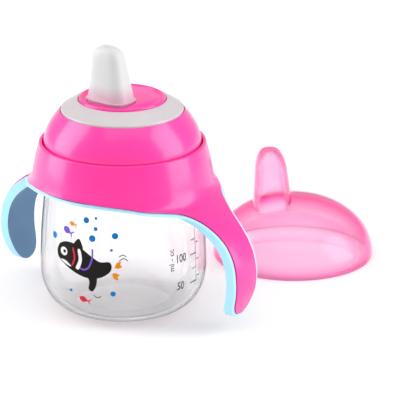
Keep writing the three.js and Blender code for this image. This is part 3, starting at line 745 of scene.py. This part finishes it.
# --------------------------------------------------------------------------- prints
@dataclass
class Prints:
    """Flat pad-printed shapes laid on the cup's side. Places are (degrees round, height)."""

    cup: Piece
    lift: float = 0.05
    thickness: float = 0.05
    start_radius: float = 42.0
    big_fish_at: Point2 = (-78.0, 30.4)
    bar_cuts: int = 12
    type_size: float = 1.38
    type_weight: float = 0.012
    type_narrow: float = 0.8
    blue_dots: tuple[tuple[float, float, float], ...] = (
        (-78.6, 49.8, 1.35), (-71.3, 51.2, 0.62), (-71.3, 46.5, 0.9), (-73.7, 42.1, 1.5),
        (-107.2, 39.4, 1.5), (-57.4, 44.0, 1.4), (-59.9, 37.6, 0.6), (-90.2, 16.9, 0.7),
        (-58.9, 17.8, 1.15),
    )

    def lay(self, shape: Piece, degrees: float, height: float) -> Piece:
        """Stands a flat shape before the cup's side and presses it on.

        Args:
            shape: a flat mesh drawn in X and Z, facing -Y, about its own middle.
            degrees: the way round from +X.
            height: its middle's height.

        Returns:
            The shape, on the cup's surface.
        """
        Bench.pick(shape)
        turn = math.radians(degrees)
        shape.location = (
            self.start_radius * MM * math.cos(turn),
            self.start_radius * MM * math.sin(turn),
            height * MM,
        )
        shape.rotation_euler = (0, 0, turn + math.pi / 2)
        press = shape.modifiers.new("press", "SHRINKWRAP")
        press.target = self.cup
        press.wrap_method = "PROJECT"
        press.use_project_y = True
        press.use_positive_direction = True
        press.use_negative_direction = False
        press.offset = self.lift * MM
        bpy.ops.object.modifier_apply(modifier=press.name)
        skin = shape.modifiers.new("skin", "SOLIDIFY")
        skin.thickness = self.thickness * MM
        skin.offset = 1.0
        bpy.ops.object.modifier_apply(modifier=skin.name)
        bpy.ops.object.transform_apply()
        return shape

    def outline(self, name: str, points: Sequence[Point2]) -> Piece:
        """A filled flat shape, cut fine enough to bend.

        Args:
            name: its name.
            points: its outline in millimetres, right and up.

        Returns:
            The flat mesh.
        """
        shape = Bench.filled(name, [(x, 0.0, z) for x, z in points])
        bpy.ops.mesh.quads_convert_to_tris()
        bpy.ops.mesh.subdivide(number_cuts=3)
        bpy.ops.object.mode_set(mode="OBJECT")
        self._face_out(shape)
        return shape

    @staticmethod
    def _face_out(shape: Piece) -> None:
        """Turns a flat shape's faces to -Y."""
        Bench.pick(shape)
        if sum(face.normal.y * face.area for face in shape.data.polygons) > 0:
            bpy.ops.object.mode_set(mode="EDIT")
            bpy.ops.mesh.select_all(action="SELECT")
            bpy.ops.mesh.flip_normals()
            bpy.ops.object.mode_set(mode="OBJECT")

    def dot(self, degrees: float, height: float, radius: float) -> Piece:
        """A round dot."""
        return self.lay(self.outline("dot", circle(radius)[:-1]), degrees, height)

    def fish(self, degrees: float, height: float, length: float, tilt: float) -> Piece:
        """A small plain fish, its head to the left."""
        body = spline(
            [
                (-0.5, 0.0), (-0.38, 0.17), (-0.1, 0.25), (0.14, 0.12), (0.24, 0.05), (0.44, 0.26),
                (0.5, 0.22), (0.38, 0.0), (0.5, -0.22), (0.44, -0.26), (0.24, -0.05), (0.14, -0.12),
                (-0.1, -0.25), (-0.38, -0.17), (-0.5, 0.0),
            ],
            44,
        )[:-1]
        return self.lay(self.outline("fish", self._turned(body, length, tilt)), degrees, height)

    @staticmethod
    def _turned(points: Sequence[Point2], size: float, tilt: float) -> list[Point2]:
        """Points scaled and turned in their own plane."""
        c, s = math.cos(math.radians(tilt)), math.sin(math.radians(tilt))
        return [((x * c - z * s) * size, (x * s + z * c) * size) for x, z in points]

    def bar(self, degrees: float, height: float, width: float, tall: float) -> Piece:
        """A thin straight bar of the scale."""
        w, h, cuts = width / 2, tall / 2, self.bar_cuts
        if tall > width:
            side = [(-w, mix(-h, h, i / cuts)) for i in range(cuts + 1)]
            points = side + [(w, z) for _, z in reversed(side)]
        else:
            side = [(mix(-w, w, i / cuts), -h) for i in range(cuts + 1)]
            points = side + [(x, h) for x, _ in reversed(side)]
        return self.lay(self.outline("bar", points), degrees, height)

    def words(
        self, text: str, degrees: float, height: float, tall: float, tilt: float = 0.0
    ) -> Piece:
        """Small lettering of the scale.

        Args:
            text: what it says.
            degrees: its middle, round from +X.
            height: its middle's height.
            tall: the height of a figure.
            tilt: how far it is turned in its own plane, in degrees.

        Returns:
            The lettering, on the cup's surface.
        """
        Bench.clear()
        bpy.ops.object.text_add(location=(0, 0, 0))
        label = bpy.context.object
        label.data.body = text
        label.data.align_x = "CENTER"
        label.data.align_y = "CENTER"
        label.data.size = tall * MM * self.type_size
        label.data.offset = tall * MM * self.type_weight
        label.rotation_euler = (math.pi / 2, 0, 0)
        bpy.ops.object.convert(target="MESH")
        label = bpy.context.object
        label.scale = (1.0 if tilt else self.type_narrow, 1, 1)
        bpy.ops.object.transform_apply()
        if tilt:
            label.rotation_euler = (0, math.radians(-tilt), 0)
            bpy.ops.object.transform_apply(location=False, rotation=True, scale=False)
        self._face_out(label)
        return self.lay(label, degrees, height)

    def arc(self, points: Sequence[Point2], width: float, degrees: float, height: float) -> Piece:
        """A thin curved stroke through points."""
        middle = spline(points, 20)
        left = offset(middle, width / 2)
        right = offset(middle, -width / 2)
        return self.lay(self.outline("stroke", left + list(reversed(right))), degrees, height)

    def build(self) -> list[Piece]:
        """Every print, joined ink by ink.

        Returns:
            One piece for each ink.
        """
        made = {
            Ink.BLUE: [self.dot(*place) for place in self.blue_dots],
            Ink.PURPLE: [self.fish(-93.5, 43.3, 6.0, -24)] + self._plume(),
            Ink.RED: [self.fish(-79.4, 13.6, 5.6, -16)] + self._gill(),
            Ink.ORANGE: [self.fish(-89.4, 46.9, 3.9, -12)] + self._fins(),
            Ink.BLACK: self._big_fish(),
            Ink.WHITE: self._big_fish_marks(),
            Ink.GREY: self._scale(),
        }
        pieces = []
        for colour, parts in made.items():
            piece = Bench.joined(f"print_{colour.name.lower()}", parts)
            Bench.dress(piece, ink(colour), 30)
            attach(piece, "cup")
            pieces.append(piece)
        return pieces

    def _big_fish(self) -> list[Piece]:
        """The dark body of the large plain fish, its fins, its pupil and a few water lines."""
        body = [
            (-15.6, 3.2), (-14.0, 6.4), (-9.6, 8.2), (-4.0, 7.4), (1.6, 4.2), (6.2, 1.6), (10.4, 1.8),
            (11.4, -0.6), (10.2, -3.2), (6.4, -5.6), (0.8, -6.4), (-5.8, -4.8), (-11.8, -2.0),
            (-15.0, 0.4), (-15.6, 3.2),
        ]
        fin = [
            (0.2, -4.6), (1.6, -8.0), (1.2, -11.2), (3.0, -12.2), (4.6, -9.6), (5.0, -5.4), (2.6, -4.2),
            (0.2, -4.6),
        ]
        back = [(-7.0, 7.2), (-4.4, 10.4), (-3.0, 10.0), (-1.6, 6.2), (-4.0, 5.8), (-7.0, 7.2)]
        parts = [self._patch(points, count) for points, count in ((body, 84), (fin, 40), (back, 28))]
        parts.append(self._disc((-11.2, 3.5), 0.75, 0.2))
        parts.append(self.arc([(-1.6, -0.4), (0.0, -1.5), (1.8, -0.6)], 0.35, -70.0, 17.0))
        parts.append(self.arc([(-1.4, 0.2), (0.2, 1.2), (1.7, 0.4)], 0.35, -52.5, 34.4))
        parts.append(self.arc([(-1.7, 0.0), (0.2, 1.2), (2.0, 0.2)], 0.35, -52.0, 32.8))
        return parts

    def _patch(self, points: Sequence[Point2], count: int, lift: float = 0.05) -> Piece:
        """A smooth patch of the large fish, drawn about the fish's own middle."""
        kept, self.lift = self.lift, lift
        made = self.lay(self.outline("patch", spline(points, count)[:-1]), *self.big_fish_at)
        self.lift = kept
        return made

    def _disc(self, middle: Point2, radius: float, lift: float) -> Piece:
        """A small disc on the large fish."""
        return self._patch(circle(radius, middle), DISC_CUTS, lift)

    def _big_fish_marks(self) -> list[Piece]:
        """The large fish's pale stripe, its pale belly and the white of its eye."""
        stripe = [(-5.2, -2.6), (-3.6, 1.4), (-4.2, 5.6), (-2.9, 5.8), (-2.0, 1.2), (-3.6, -3.2)]
        stripe.append(stripe[0])
        belly = [(-13.6, -0.4), (-10.4, -0.6), (-7.4, -2.6), (-10.6, -2.0), (-13.6, -0.4)]
        patches = [self._patch(stripe, 30, 0.12), self._patch(belly, 26, 0.12)]
        return patches + [self._disc((-11.6, 3.4), 1.9, 0.12)]

    def _gill(self) -> list[Piece]:
        """The red gill stripe of the large fish."""
        gill = [(-7.4, -1.8), (-6.2, 1.6), (-7.0, 5.8), (-6.2, 5.9), (-5.3, 1.6), (-6.6, -2.0)]
        gill.append(gill[0])
        return [self._patch(gill, 30, 0.14)]

    def _fins(self) -> list[Piece]:
        """The orange tail fins of the large fish."""
        corners = [(-1.4, -0.8), (-0.4, 1.4), (1.5, 2.0), (1.0, 0.6), (1.9, -0.2), (0.2, -1.2)]
        upper = spline(corners + corners[:1], 26)[:-1]
        lower = [(x, -z) for x, z in reversed(upper)]
        return [
            self.lay(self.outline("fin", upper), -55.6, 30.6),
            self.lay(self.outline("fin", lower), -57.4, 26.2),
        ]

    def _plume(self) -> list[Piece]:
        """A purple stream of water behind the large fish's head."""
        stream = [(0.4, 5.2), (0.2, 0.6), (-1.6, -3.6), (-4.6, -4.6), (-7.0, -2.6)]
        return [self.arc(stream, 0.8, -74.0, 32.2)]

    def _scale(self) -> list[Piece]:
        """The measuring scale: a spine, its ticks, two figures and the unit."""
        spine = 7.6
        parts = [self.bar(spine, 29.2, 0.25, 26.0)]
        ticks = ((17.3, 4.2, 0.55), (30.0, 4.2, 0.55), (23.5, 3.2, 0.28), (36.6, 3.2, 0.28))
        for height, width, tall in ticks:
            parts.append(self.bar(spine - 3.4 + (4.2 - width) * 0.8, height, width, tall))
        for height in (19.3, 26.9, 34.5):
            parts.append(self.bar(spine + 2.4, height, 1.7, 0.5))
        parts.append(self.words("100", -8.5, 30.2, 3.8))
        parts.append(self.words("50", -9.2, 17.6, 3.8))
        parts.append(self.words("ml - cc", -16.6, 30.4, 2.7, tilt=90))
        return parts


# --------------------------------------------------------------------------- grip
@dataclass
class Grip:
    """The pink handle ring and its blue liner."""

    shoulder: float = 57.6
    tip: float = 6.9
    half: float = 8.9
    set_back: float = 2.4
    collar_low: float = 40.1
    collar_top: float = 75.6
    collar_top_radius: float = 36.4
    bore: float = 34.9
    reach: float = 66.0
    shell: float = 2.0
    gap: float = 0.3
    liner: float = 2.4
    border: float = 1.7
    recess: float = 0.6
    flange_bore: float = 30.4
    flange_outer: float = 36.6
    flange_low: float = 57.9
    flange_top: float = 60.3
    # Liner faces turned inwards past this, below this height, get painted shade.
    painted_shade_facing: float = -0.55
    painted_shade_below: float = 50.0
    bulge: float = 0.25
    sweep: tuple[Point2, ...] = (
        (-0.02, -0.07), (0.02, -0.004), (0.11, 0.047), (0.29, 0.103), (0.48, 0.172), (0.66, 0.247),
        (0.82, 0.339), (0.945, 0.465), (1.0, 0.613), (0.985, 0.761), (0.9, 0.9), (0.857, 0.959),
        (0.81, 1.057),
    )

    def outer_curve(self) -> list[Point2]:
        """The outer face from the collar down to the handles' tips."""
        outs = [mix(self.collar_low, self.reach, out) for out, _ in self.sweep]
        heights = [mix(self.shoulder, self.tip, down) for _, down in self.sweep]
        return spline(list(zip(outs, heights)), 56)

    def outline(self, inset: float, top: float) -> list[Point2]:
        """The lower edge of the ring and its handles seen along X, as (Y, Z).

        Args:
            inset: how far the outline is drawn in.
            top: the height it is closed at.

        Returns:
            The outline's points, not closed.
        """
        edge, tip, half = self.shoulder, self.tip, self.half
        past = self.collar_low + 10
        run = spline(
            [
                (past, edge + 0.3), (self.collar_low + 2.4, edge + 0.2),
                (self.collar_low - 1.1, edge - 0.3), (half + 24.7, edge - 1.3),
                (half + 20.1, edge - 2.6), (half + 13.1, edge - 3.8), (half + 7.2, edge - 5.1),
                (half + 3.5, edge - 7.6), (half + 1.4, edge - 11), (half + 0.3, mix(edge, tip, 0.31)),
                (half, mix(edge, tip, 0.465)), (half, mix(edge, tip, 0.66)), (half - 0.6, tip + 10.7),
                (half * 0.79, tip + 5.6), (half * 0.54, tip + 2.1), (half * 0.27, tip + 0.5),
                (0.0, tip),
            ],
            110,
        )
        right = [p for p in offset(run, -inset) if p[0] > 0.15]
        left = [(-y, z) for y, z in reversed(right)]
        whole = [(past, top), *right, (0.0, tip + inset), *left, (-past, top)]
        return [(y + self.set_back, z) for y, z in whole]

    def band(self, name: str, outer: float, inner: float) -> Piece:
        """A turned shell between two insets of the outer face."""
        curve = self.outer_curve()
        return Bench.spun(name, [*offset(curve, -outer), *reversed(offset(curve, -inner))], FINE_FACETS)

    def trim(self, obj: Piece, inset: float, top: float = 90.0) -> None:
        """Keeps only what lies inside the outline."""
        past = self.reach + 8
        Bench.cut(obj, Bench.prism("trim", self.outline(inset, top), -past, past), "INTERSECT")

    def build_ring(self) -> Piece:
        """The pink ring: collar, both handles and the inner flange.

        Returns:
            The piece.
        """
        curve = self.outer_curve()
        inner = offset(curve, -self.shell)
        r, top = self.collar_top_radius, self.collar_top
        rim = cubic((r + 0.05, top - 0.7), (r - 0.05, top - 0.15), (r - 0.3, top), (r - 0.7, top), 5)
        seam = curve[0]
        bulge = [
            (mix(seam[0], rim[0][0], t) + self.bulge * math.sin(math.pi * t), mix(seam[1], rim[0][1], t))
            for t in (0.12 * k for k in range(1, 9))
        ]
        profile = [(self.bore, self.flange_top - 0.8), (self.bore, top - 0.35), (self.bore + 0.3, top)]
        profile += [*reversed(rim), *reversed(bulge), *curve, *reversed(inner)]
        ring = Bench.spun("handle_ring_shell", profile, FINE_FACETS)
        self.trim(ring, self.border)
        bore, wide, low, high = self.flange_bore, self.flange_outer, self.flange_low, self.flange_top
        flange = Bench.spun("flange", [(bore, low), (wide, low), (wide, high), (bore, high)])
        Bench.cut(ring, flange, "UNION")
        self._finish(ring, PINK_HANDLE, "handle_ring", "pink_handle")
        return ring

    def build_liner(self) -> Piece:
        """The blue liner inside the handles and round their edge, its inward faces low down in a darker
        blue as painted shade.

        Returns:
            The piece.
        """
        deep = self.shell + self.gap
        liner = self.band("handle_liner_skin", self.recess, deep + self.liner)
        self.trim(liner, 0.0, self.flange_low + 0.9)
        seat = self.band("seat", -3.0, deep)
        self.trim(seat, self.border - self.gap)
        Bench.cut(liner, seat, "DIFFERENCE")
        inside = self.flange_outer + self.gap
        core = Bench.spun("core", [(0.0, 0.0), (inside, 0.0), (inside, 90.0), (0.0, 90.0)], closed=False)
        Bench.cut(liner, core, "DIFFERENCE")
        self._finish(liner, BLUE_RIM, "handle_liner", "blue_soft")
        # A darker copy of the liner's blue on the inward faces low down: painted shade on the handles'
        # inner faces.
        liner.data.materials.append(BLUE_PAINTED_SHADE.material())
        for face in liner.data.polygons:
            out = Vector((face.center.x, face.center.y, 0)).normalized()
            inwards = face.normal.dot(out) < self.painted_shade_facing
            face.material_index = 1 if inwards and face.center.z < self.painted_shade_below * MM else 0
        return liner

    @staticmethod
    def _finish(obj: Piece, finish: Finish, node: str, slot: str) -> None:
        """Shades, dresses and mounts one of the grip's pieces."""
        Bench.dress(obj, finish.material(), 34)
        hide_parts(node)
        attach(obj, "handles")


# --------------------------------------------------------------------------- lid
@dataclass
class Lid:
    """The screw ring, the lip ring, the spout and the hidden silicone pieces."""

    bore: float = 31.7
    skirt: float = 34.4
    skirt_low: float = 60.6
    collar_top: float = 75.6
    ceiling: float = 80.1
    dome_edge: float = 26.7
    dome_top: float = 89.8
    gap: float = 0.3
    lip_in: float = 19.2
    lip_low: float = 90.5
    lip_high: float = 94.5
    lip_thick: float = 2.0
    crest_radius: float = 17.4
    crest: float = 95.3
    floor: float = 96.2
    floor_under: float = 93.4
    pocket: float = 17.3
    spout_x: float = 10.4
    spout_y: float = 7.2
    tip_x: float = 7.5
    tip_y: float = 5.0
    lean: float = 1.7
    square: float = 3.0
    spout_top: float = 120.4
    spout_shoulder: float = 114.0
    wall: float = 1.7
    flange_low: float = 91.3
    flange_top: float = 93.1
    flange_wide: float = 1.0

    def __post_init__(self) -> None:
        """Takes the spout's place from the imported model."""
        low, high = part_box("spill_valve")
        self.centre_y = (low[1] + high[1]) / 2 / MM

    def seat(self, radius: float) -> float:
        """The height of the lip ring's seat at a radius."""
        outer, inner = self.dome_edge + self.gap, self.lip_in - self.gap
        low = self.lip_low - self.lip_thick - self.gap
        high = self.lip_high - self.lip_thick - self.gap
        return mix(low, high, (radius - outer) / (inner - outer))

    def build_ring(self) -> Piece:
        """The pink screw ring with its dome, crest and floor.

        Returns:
            The piece.
        """
        outer, inner = self.dome_edge + self.gap, self.lip_in - self.gap
        skirt, base, edge, top = self.skirt, self.collar_top, self.dome_edge, self.dome_top
        r, crest, floor, pocket = self.crest_radius, self.crest, self.floor, self.pocket
        profile = [(0.0, self.floor_under), (pocket, self.floor_under), (pocket, self.seat(pocket) - 2.2)]
        profile += [(edge - 1.4, self.seat(edge) - 2.2), (edge - 0.3, self.ceiling + 2)]
        profile += [(edge - 0.3, self.ceiling), (self.bore, self.ceiling)]
        profile += [(self.bore, self.skirt_low), (skirt, self.skirt_low)]
        profile += cubic(
            (skirt, base), (skirt - 0.2, base + 4.6),
            (skirt - 3.4, base + 9.4), (outer + 0.1, top - 0.1), 30
        )
        profile += [(outer, top - 0.35), (outer, self.seat(outer)), (inner, self.seat(inner))]
        profile += cubic(
            (inner, self.lip_high + 0.1), (inner - 0.2, crest + 0.35),
            (r + 0.3, crest + 0.45), (r - 0.3, crest - 0.1), 8
        )
        profile += cubic(
            (r - 0.6, crest - 0.5), (r - 1.3, crest - 0.75),
            (r - 1.9, crest + 0.2), (r - 3.4, crest + 0.42), 8
        )
        profile += cubic((r - 4.2, crest + 0.5), (9.0, floor - 0.2), (4.0, floor), (0.0, floor), 10)
        ring = Bench.spun("screw_ring_dome", profile, FINE_FACETS, closed=False)
        wide_x, wide_y = self.spout_x + self.gap, self.spout_y + self.gap
        heights = (self.floor_under - 2, self.floor + 2)
        ends = [Ring(height, wide_x, wide_y, self.centre_y) for height in heights]
        hole = Bench.lofted("hole", ends, self.square, closed=False)
        Bench.cut(ring, hole, "DIFFERENCE")
        Bench.dress(ring, PINK_RING.material(), 38)
        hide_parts("screw_ring")
        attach(ring, "lid")
        return ring

    def build_lip(self) -> Piece:
        """The pale lip ring.

        Returns:
            The piece.
        """
        r, i, low, high = self.dome_edge, self.lip_in, self.lip_low, self.lip_high
        bead = cubic((r, low - 0.7), (r, low - 0.1), (r - 0.2, low + 0.1), (r - 0.8, low + 0.42), 6)
        top = cubic((r - 1.2, low + 0.62), (r - 3.4, low + 2.0), (i + 2.6, high - 0.9), (i + 0.5, high), 12)
        profile = [(r, self.seat(r) + self.gap), *bead, *top, (i + 0.15, high - 0.02), (i, high - 0.25)]
        profile.append((i, self.seat(i) + self.gap))
        lip = Bench.spun("lip_ring_soft", profile, FINE_FACETS)
        Bench.dress(lip, LIP_SILICONE.material(), 40)
        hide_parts("lip_ring")
        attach(lip, "lid")
        return lip

    def _spout_ring(self, height: float, inset: float) -> Ring:
        """The spout's section at a height below its crown, drawn in by inset."""
        share = max(0.0, min(1.0, (height - self.floor) / (self.spout_shoulder - self.floor))) ** 0.85
        lean = self.lean * max(0.0, (height - self.floor) / (self.spout_top - self.floor))
        return Ring(
            height,
            mix(self.spout_x, self.tip_x, share) - inset,
            mix(self.spout_y, self.tip_y, share) - inset,
            self.centre_y - lean,
        )

    def build_spout(self) -> Piece:
        """The soft spout, hollow, with a dished slot in its tip.

        Returns:
            The piece.
        """
        rise = self.spout_top - self.spout_shoulder
        outer = [self._spout_ring(mix(self.floor + 0.9, self.spout_shoulder, t / 12), 0) for t in range(13)]
        crown = []
        for k in range(1, 10):
            angle = k / 10 * math.pi / 2
            section = self._spout_ring(self.spout_shoulder + rise * math.sin(angle), 0)
            scale = math.cos(angle) ** 0.72
            half_x, half_y = max(3.2, section.half_x * scale), max(1.9, section.half_y * scale)
            crown.append(Ring(section.height, half_x, half_y, section.centre_y))
        tip = self.centre_y - self.lean
        dish = [
            Ring(self.spout_top - 0.05, 2.9, 1.5, tip),
            Ring(self.spout_top - 0.45, 2.4, 1.1, tip),
            Ring(self.spout_top - 1.0, 1.9, 0.55, tip),
            Ring(self.spout_top - self.wall - 0.2, 1.8, 0.5, tip),
        ]
        hollow = [Ring(self.spout_shoulder + 3.6, 3.4, 1.9, tip + 0.2)]
        depths = [mix(self.spout_shoulder, self.floor, t / 6) for t in range(7)]
        hollow += [self._spout_ring(depth, self.wall) for depth in depths]
        wide_x, wide_y = self.spout_x + self.flange_wide, self.spout_y + self.flange_wide
        x, y, centre = self.spout_x, self.spout_y, self.centre_y
        foot = [
            Ring(self.flange_low, x - self.wall, y - self.wall, centre),
            Ring(self.flange_low, wide_x, wide_y, centre),
            Ring(self.flange_top, wide_x, wide_y, centre),
            Ring(self.flange_top, x, y, centre),
            Ring(self.floor + 0.08, x, y, centre),
        ]
        bead = ((0.08, 0.45), (0.35, 0.5), (0.6, 0.25))
        foot += [Ring(self.floor + up, x + out, y + out, centre) for up, out in bead]
        rings = foot + outer + crown + dish + hollow
        spout = Bench.lofted("drinking_spout", rings, self.square, closed=True)
        Bench.dress(spout, SPOUT_SILICONE.material(), 50)
        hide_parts("spout")
        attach(spout, "lid")
        return spout

    @staticmethod
    def dress_hidden() -> None:
        """Gives the valve and the seal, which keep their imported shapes, their silicone."""
        for node in ("spill_valve", "seal_ring"):
            obj = bpy.data.objects.get(node)
            for slot in obj.material_slots:
                slot.material = WHITE_SILICONE.material()


# --------------------------------------------------------------------------- cap
@dataclass
class Cap:
    """The clear pink cap, standing on its rim beside the cup."""

    radius: float = 36.5
    wall: float = 1.4
    dome: float = 27.4
    rim: float = 2.0
    top: float = 50.9
    half_x: float = 13.3
    half_y: float = 10.1
    crown: float = 9.0
    shrink: float = 3.6
    offset_y: float = -8.94
    lean: float = 1.9
    square: float = 3.0
    bead: float = 0.5
    turn: float = -0.9

    def dome_curve(self, radius: float, height: float, steps: int) -> list[Point2]:
        """The dome from its rim up to the axis."""
        turns = [math.pi / 2 * i / steps for i in range(steps + 1)]
        rise = height - self.rim
        return [(radius * math.cos(turn), self.rim + rise * math.sin(turn)) for turn in turns]

    def cover(self, name: str, inset: float, foot: float) -> Piece:
        """The cover over the spout, drawn in by inset."""
        top, shoulder = self.top - inset, self.top - self.crown
        turns = [k / 12.5 * math.pi / 2 for k in range(1, 13)]
        levels = [(mix(foot, shoulder, k / 10), 1.0) for k in range(11)]
        levels += [(shoulder + (top - shoulder) * math.sin(turn), math.cos(turn) ** 0.8) for turn in turns]
        rings = []
        for height, scale in levels:
            share = max(0.0, (height - foot) / (top - foot))
            narrow = inset + self.shrink * share
            half_x, half_y = (self.half_x - narrow) * scale, (self.half_y - narrow) * scale
            rings.append(Ring(height, half_x, half_y, self.offset_y - self.lean * share))
        return Bench.lofted(name, rings, self.square, closed=False)

    def build(self) -> Piece:
        """The cap as one hollow piece.

        Returns:
            The piece.
        """
        middle = self.dome / 2
        edge = [(0.0, 0.0), (self.radius - 0.6, 0.0), (self.radius - 0.18, 0.12), (self.radius, 0.6)]
        cap = Bench.spun("pink_cap", edge + self.dome_curve(self.radius, self.dome, 30), closed=False)
        Bench.cut(cap, self.cover("cover", 0.0, middle), "UNION")
        inner = self.radius - self.wall
        hollow_profile = [
            (0.0, -1.0), (inner - self.bead, -1.0), (inner - self.bead, 0.7),
            (inner - self.bead * 0.4, 1.2),
            *self.dome_curve(inner, self.dome - self.wall, 28),
        ]
        hollow = Bench.spun("hollow", hollow_profile, closed=False)
        Bench.cut(hollow, self.cover("cover_hollow", self.wall, middle - self.wall), "UNION")
        Bench.cut(cap, hollow, "DIFFERENCE")
        self._stand(cap)
        Bench.dress(cap, PINK_CLEAR.material(), 36)
        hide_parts("cap")
        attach(cap, "cap")
        return cap

    def _stand(self, cap: Piece) -> None:
        """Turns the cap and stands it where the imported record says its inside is."""
        record = frame["record"]["physics"]["openings"]
        inside = next(o for o in record if o["name"] == "cap_inside")["box_m"]
        Bench.pick(cap)
        cap.rotation_euler = (0, 0, self.turn)
        cap.location = ((inside[0][0] + inside[1][0]) / 2, (inside[0][1] + inside[1][1]) / 2, 0)
        bpy.ops.object.transform_apply()


# --------------------------------------------------------------------------- studio
@dataclass
class Studio:
    """Floor, lights, world and camera."""

    eye: tuple[float, float, float] = (0.8182, -1.0323, 0.5219)
    aim: tuple[float, float, float] = (0.0264, 0.0209, 0.0474)
    lens: float = 287.9
    floor_size: float = 8.0

    def build(self) -> None:
        """Sets everything round the object."""
        scene = bpy.context.scene
        scene.view_settings.view_transform = "Standard"
        scene.view_settings.look = "None"
        self._floor()
        self._world(scene)
        self._lights()
        Bench.clear()
        bpy.ops.object.camera_add(location=self.eye)
        camera = bpy.context.object
        camera.rotation_euler = (Vector(self.aim) - Vector(self.eye)).to_track_quat("-Z", "Y").to_euler()
        camera.data.lens = self.lens
        camera.data.sensor_width = 36
        camera.data.clip_end = 50
        scene.camera = camera

    def _floor(self) -> None:
        """A wide pale floor."""
        Bench.clear()
        bpy.ops.mesh.primitive_plane_add(size=self.floor_size, location=(0, 0, 0))
        floor = bpy.context.object
        floor.name = "studio_floor"
        bpy.ops.object.transform_apply()
        pale = bpy.data.materials.new("studio_white")
        pale.use_nodes = True
        tree = pale.node_tree
        place = NodeShop.add(tree, "TexCoord", {}).outputs["Object"]
        noise = NodeShop.add(tree, "TexNoise", {"Vector": place, "Scale": 6.0}).outputs["Fac"]
        inputs = {
            "Base Color": NodeShop.blend(tree, noise, (0.81, 0.81, 0.81, 1), (0.83, 0.83, 0.83, 1)),
            "Roughness": 0.9,
            "Specular IOR Level": 0.1,
            "Emission Color": (1, 1, 1, 1),
            "Emission Strength": 0.16,
        }
        NodeShop.feed(tree, tree.nodes["Principled BSDF"], inputs)
        floor.data.materials.append(pale)

    @staticmethod
    def _world(scene: bpy.types.Scene) -> None:
        """Even pale light from all round."""
        world = bpy.data.worlds.new("studio_world")
        world.use_nodes = True
        sky = world.node_tree.nodes["Background"]
        sky.inputs["Color"].default_value = (1, 1, 1, 1)
        sky.inputs["Strength"].default_value = 0.62
        scene.world = world

    def _lights(self) -> None:
        """Soft boxes to the left, the right and above."""
        self._box("left_soft_box", -95, 22, 1.1, 0.7, 1.2, 9.0)
        self._box("right_soft_box", 80, 20, 1.1, 0.7, 1.2, 8.5)
        self._box("top_soft_box", 10, 82, 1.5, 1.6, 1.6, 7.5)

    def _box(
        self, name: str, side: float, up: float, away: float, wide: float, tall: float, power: float
    ) -> None:
        """One soft box.

        Args:
            name: its name.
            side: degrees round from the camera's side of the object, right positive.
            up: degrees above the floor.
            away: distance in metres.
            wide: its width in metres.
            tall: its height in metres.
            power: its power in watts.
        """
        Bench.clear()
        heading = math.atan2(self.eye[1] - self.aim[1], self.eye[0] - self.aim[0]) + math.radians(side)
        lift = math.radians(up)
        aim = Vector((0, 0, 0.06))
        flat = math.cos(lift)
        place = aim + Vector((math.cos(heading) * flat, math.sin(heading) * flat, math.sin(lift))) * away
        bpy.ops.object.light_add(type="AREA", location=place)
        lamp = bpy.context.object
        lamp.name = name
        lamp.rotation_euler = (aim - place).to_track_quat("-Z", "Y").to_euler()
        lamp.data.shape = "RECTANGLE"
        lamp.data.size = wide
        lamp.data.size_y = tall
        lamp.data.energy = power


# --------------------------------------------------------------------------- the whole picture
def main() -> None:
    """Builds every piece in order."""
    logging.basicConfig(level=logging.INFO, format="%(name)s %(message)s")
    Studio().build()
    cup = ClearCup().build()
    grip = Grip()
    lid = Lid()
    steps: list[Callable[[], object]] = [
        Prints(cup).build,
        grip.build_ring,
        grip.build_liner,
        lid.build_ring,
        lid.build_lip,
        lid.build_spout,
        Cap().build,
    ]
    for step in steps:
        made = step()
        for piece in made if isinstance(made, list) else [made]:
            LOG.info("%s has %d faces", piece.name, len(piece.data.polygons))
    lid.dress_hidden()


if __name__ == "__main__":
    main()
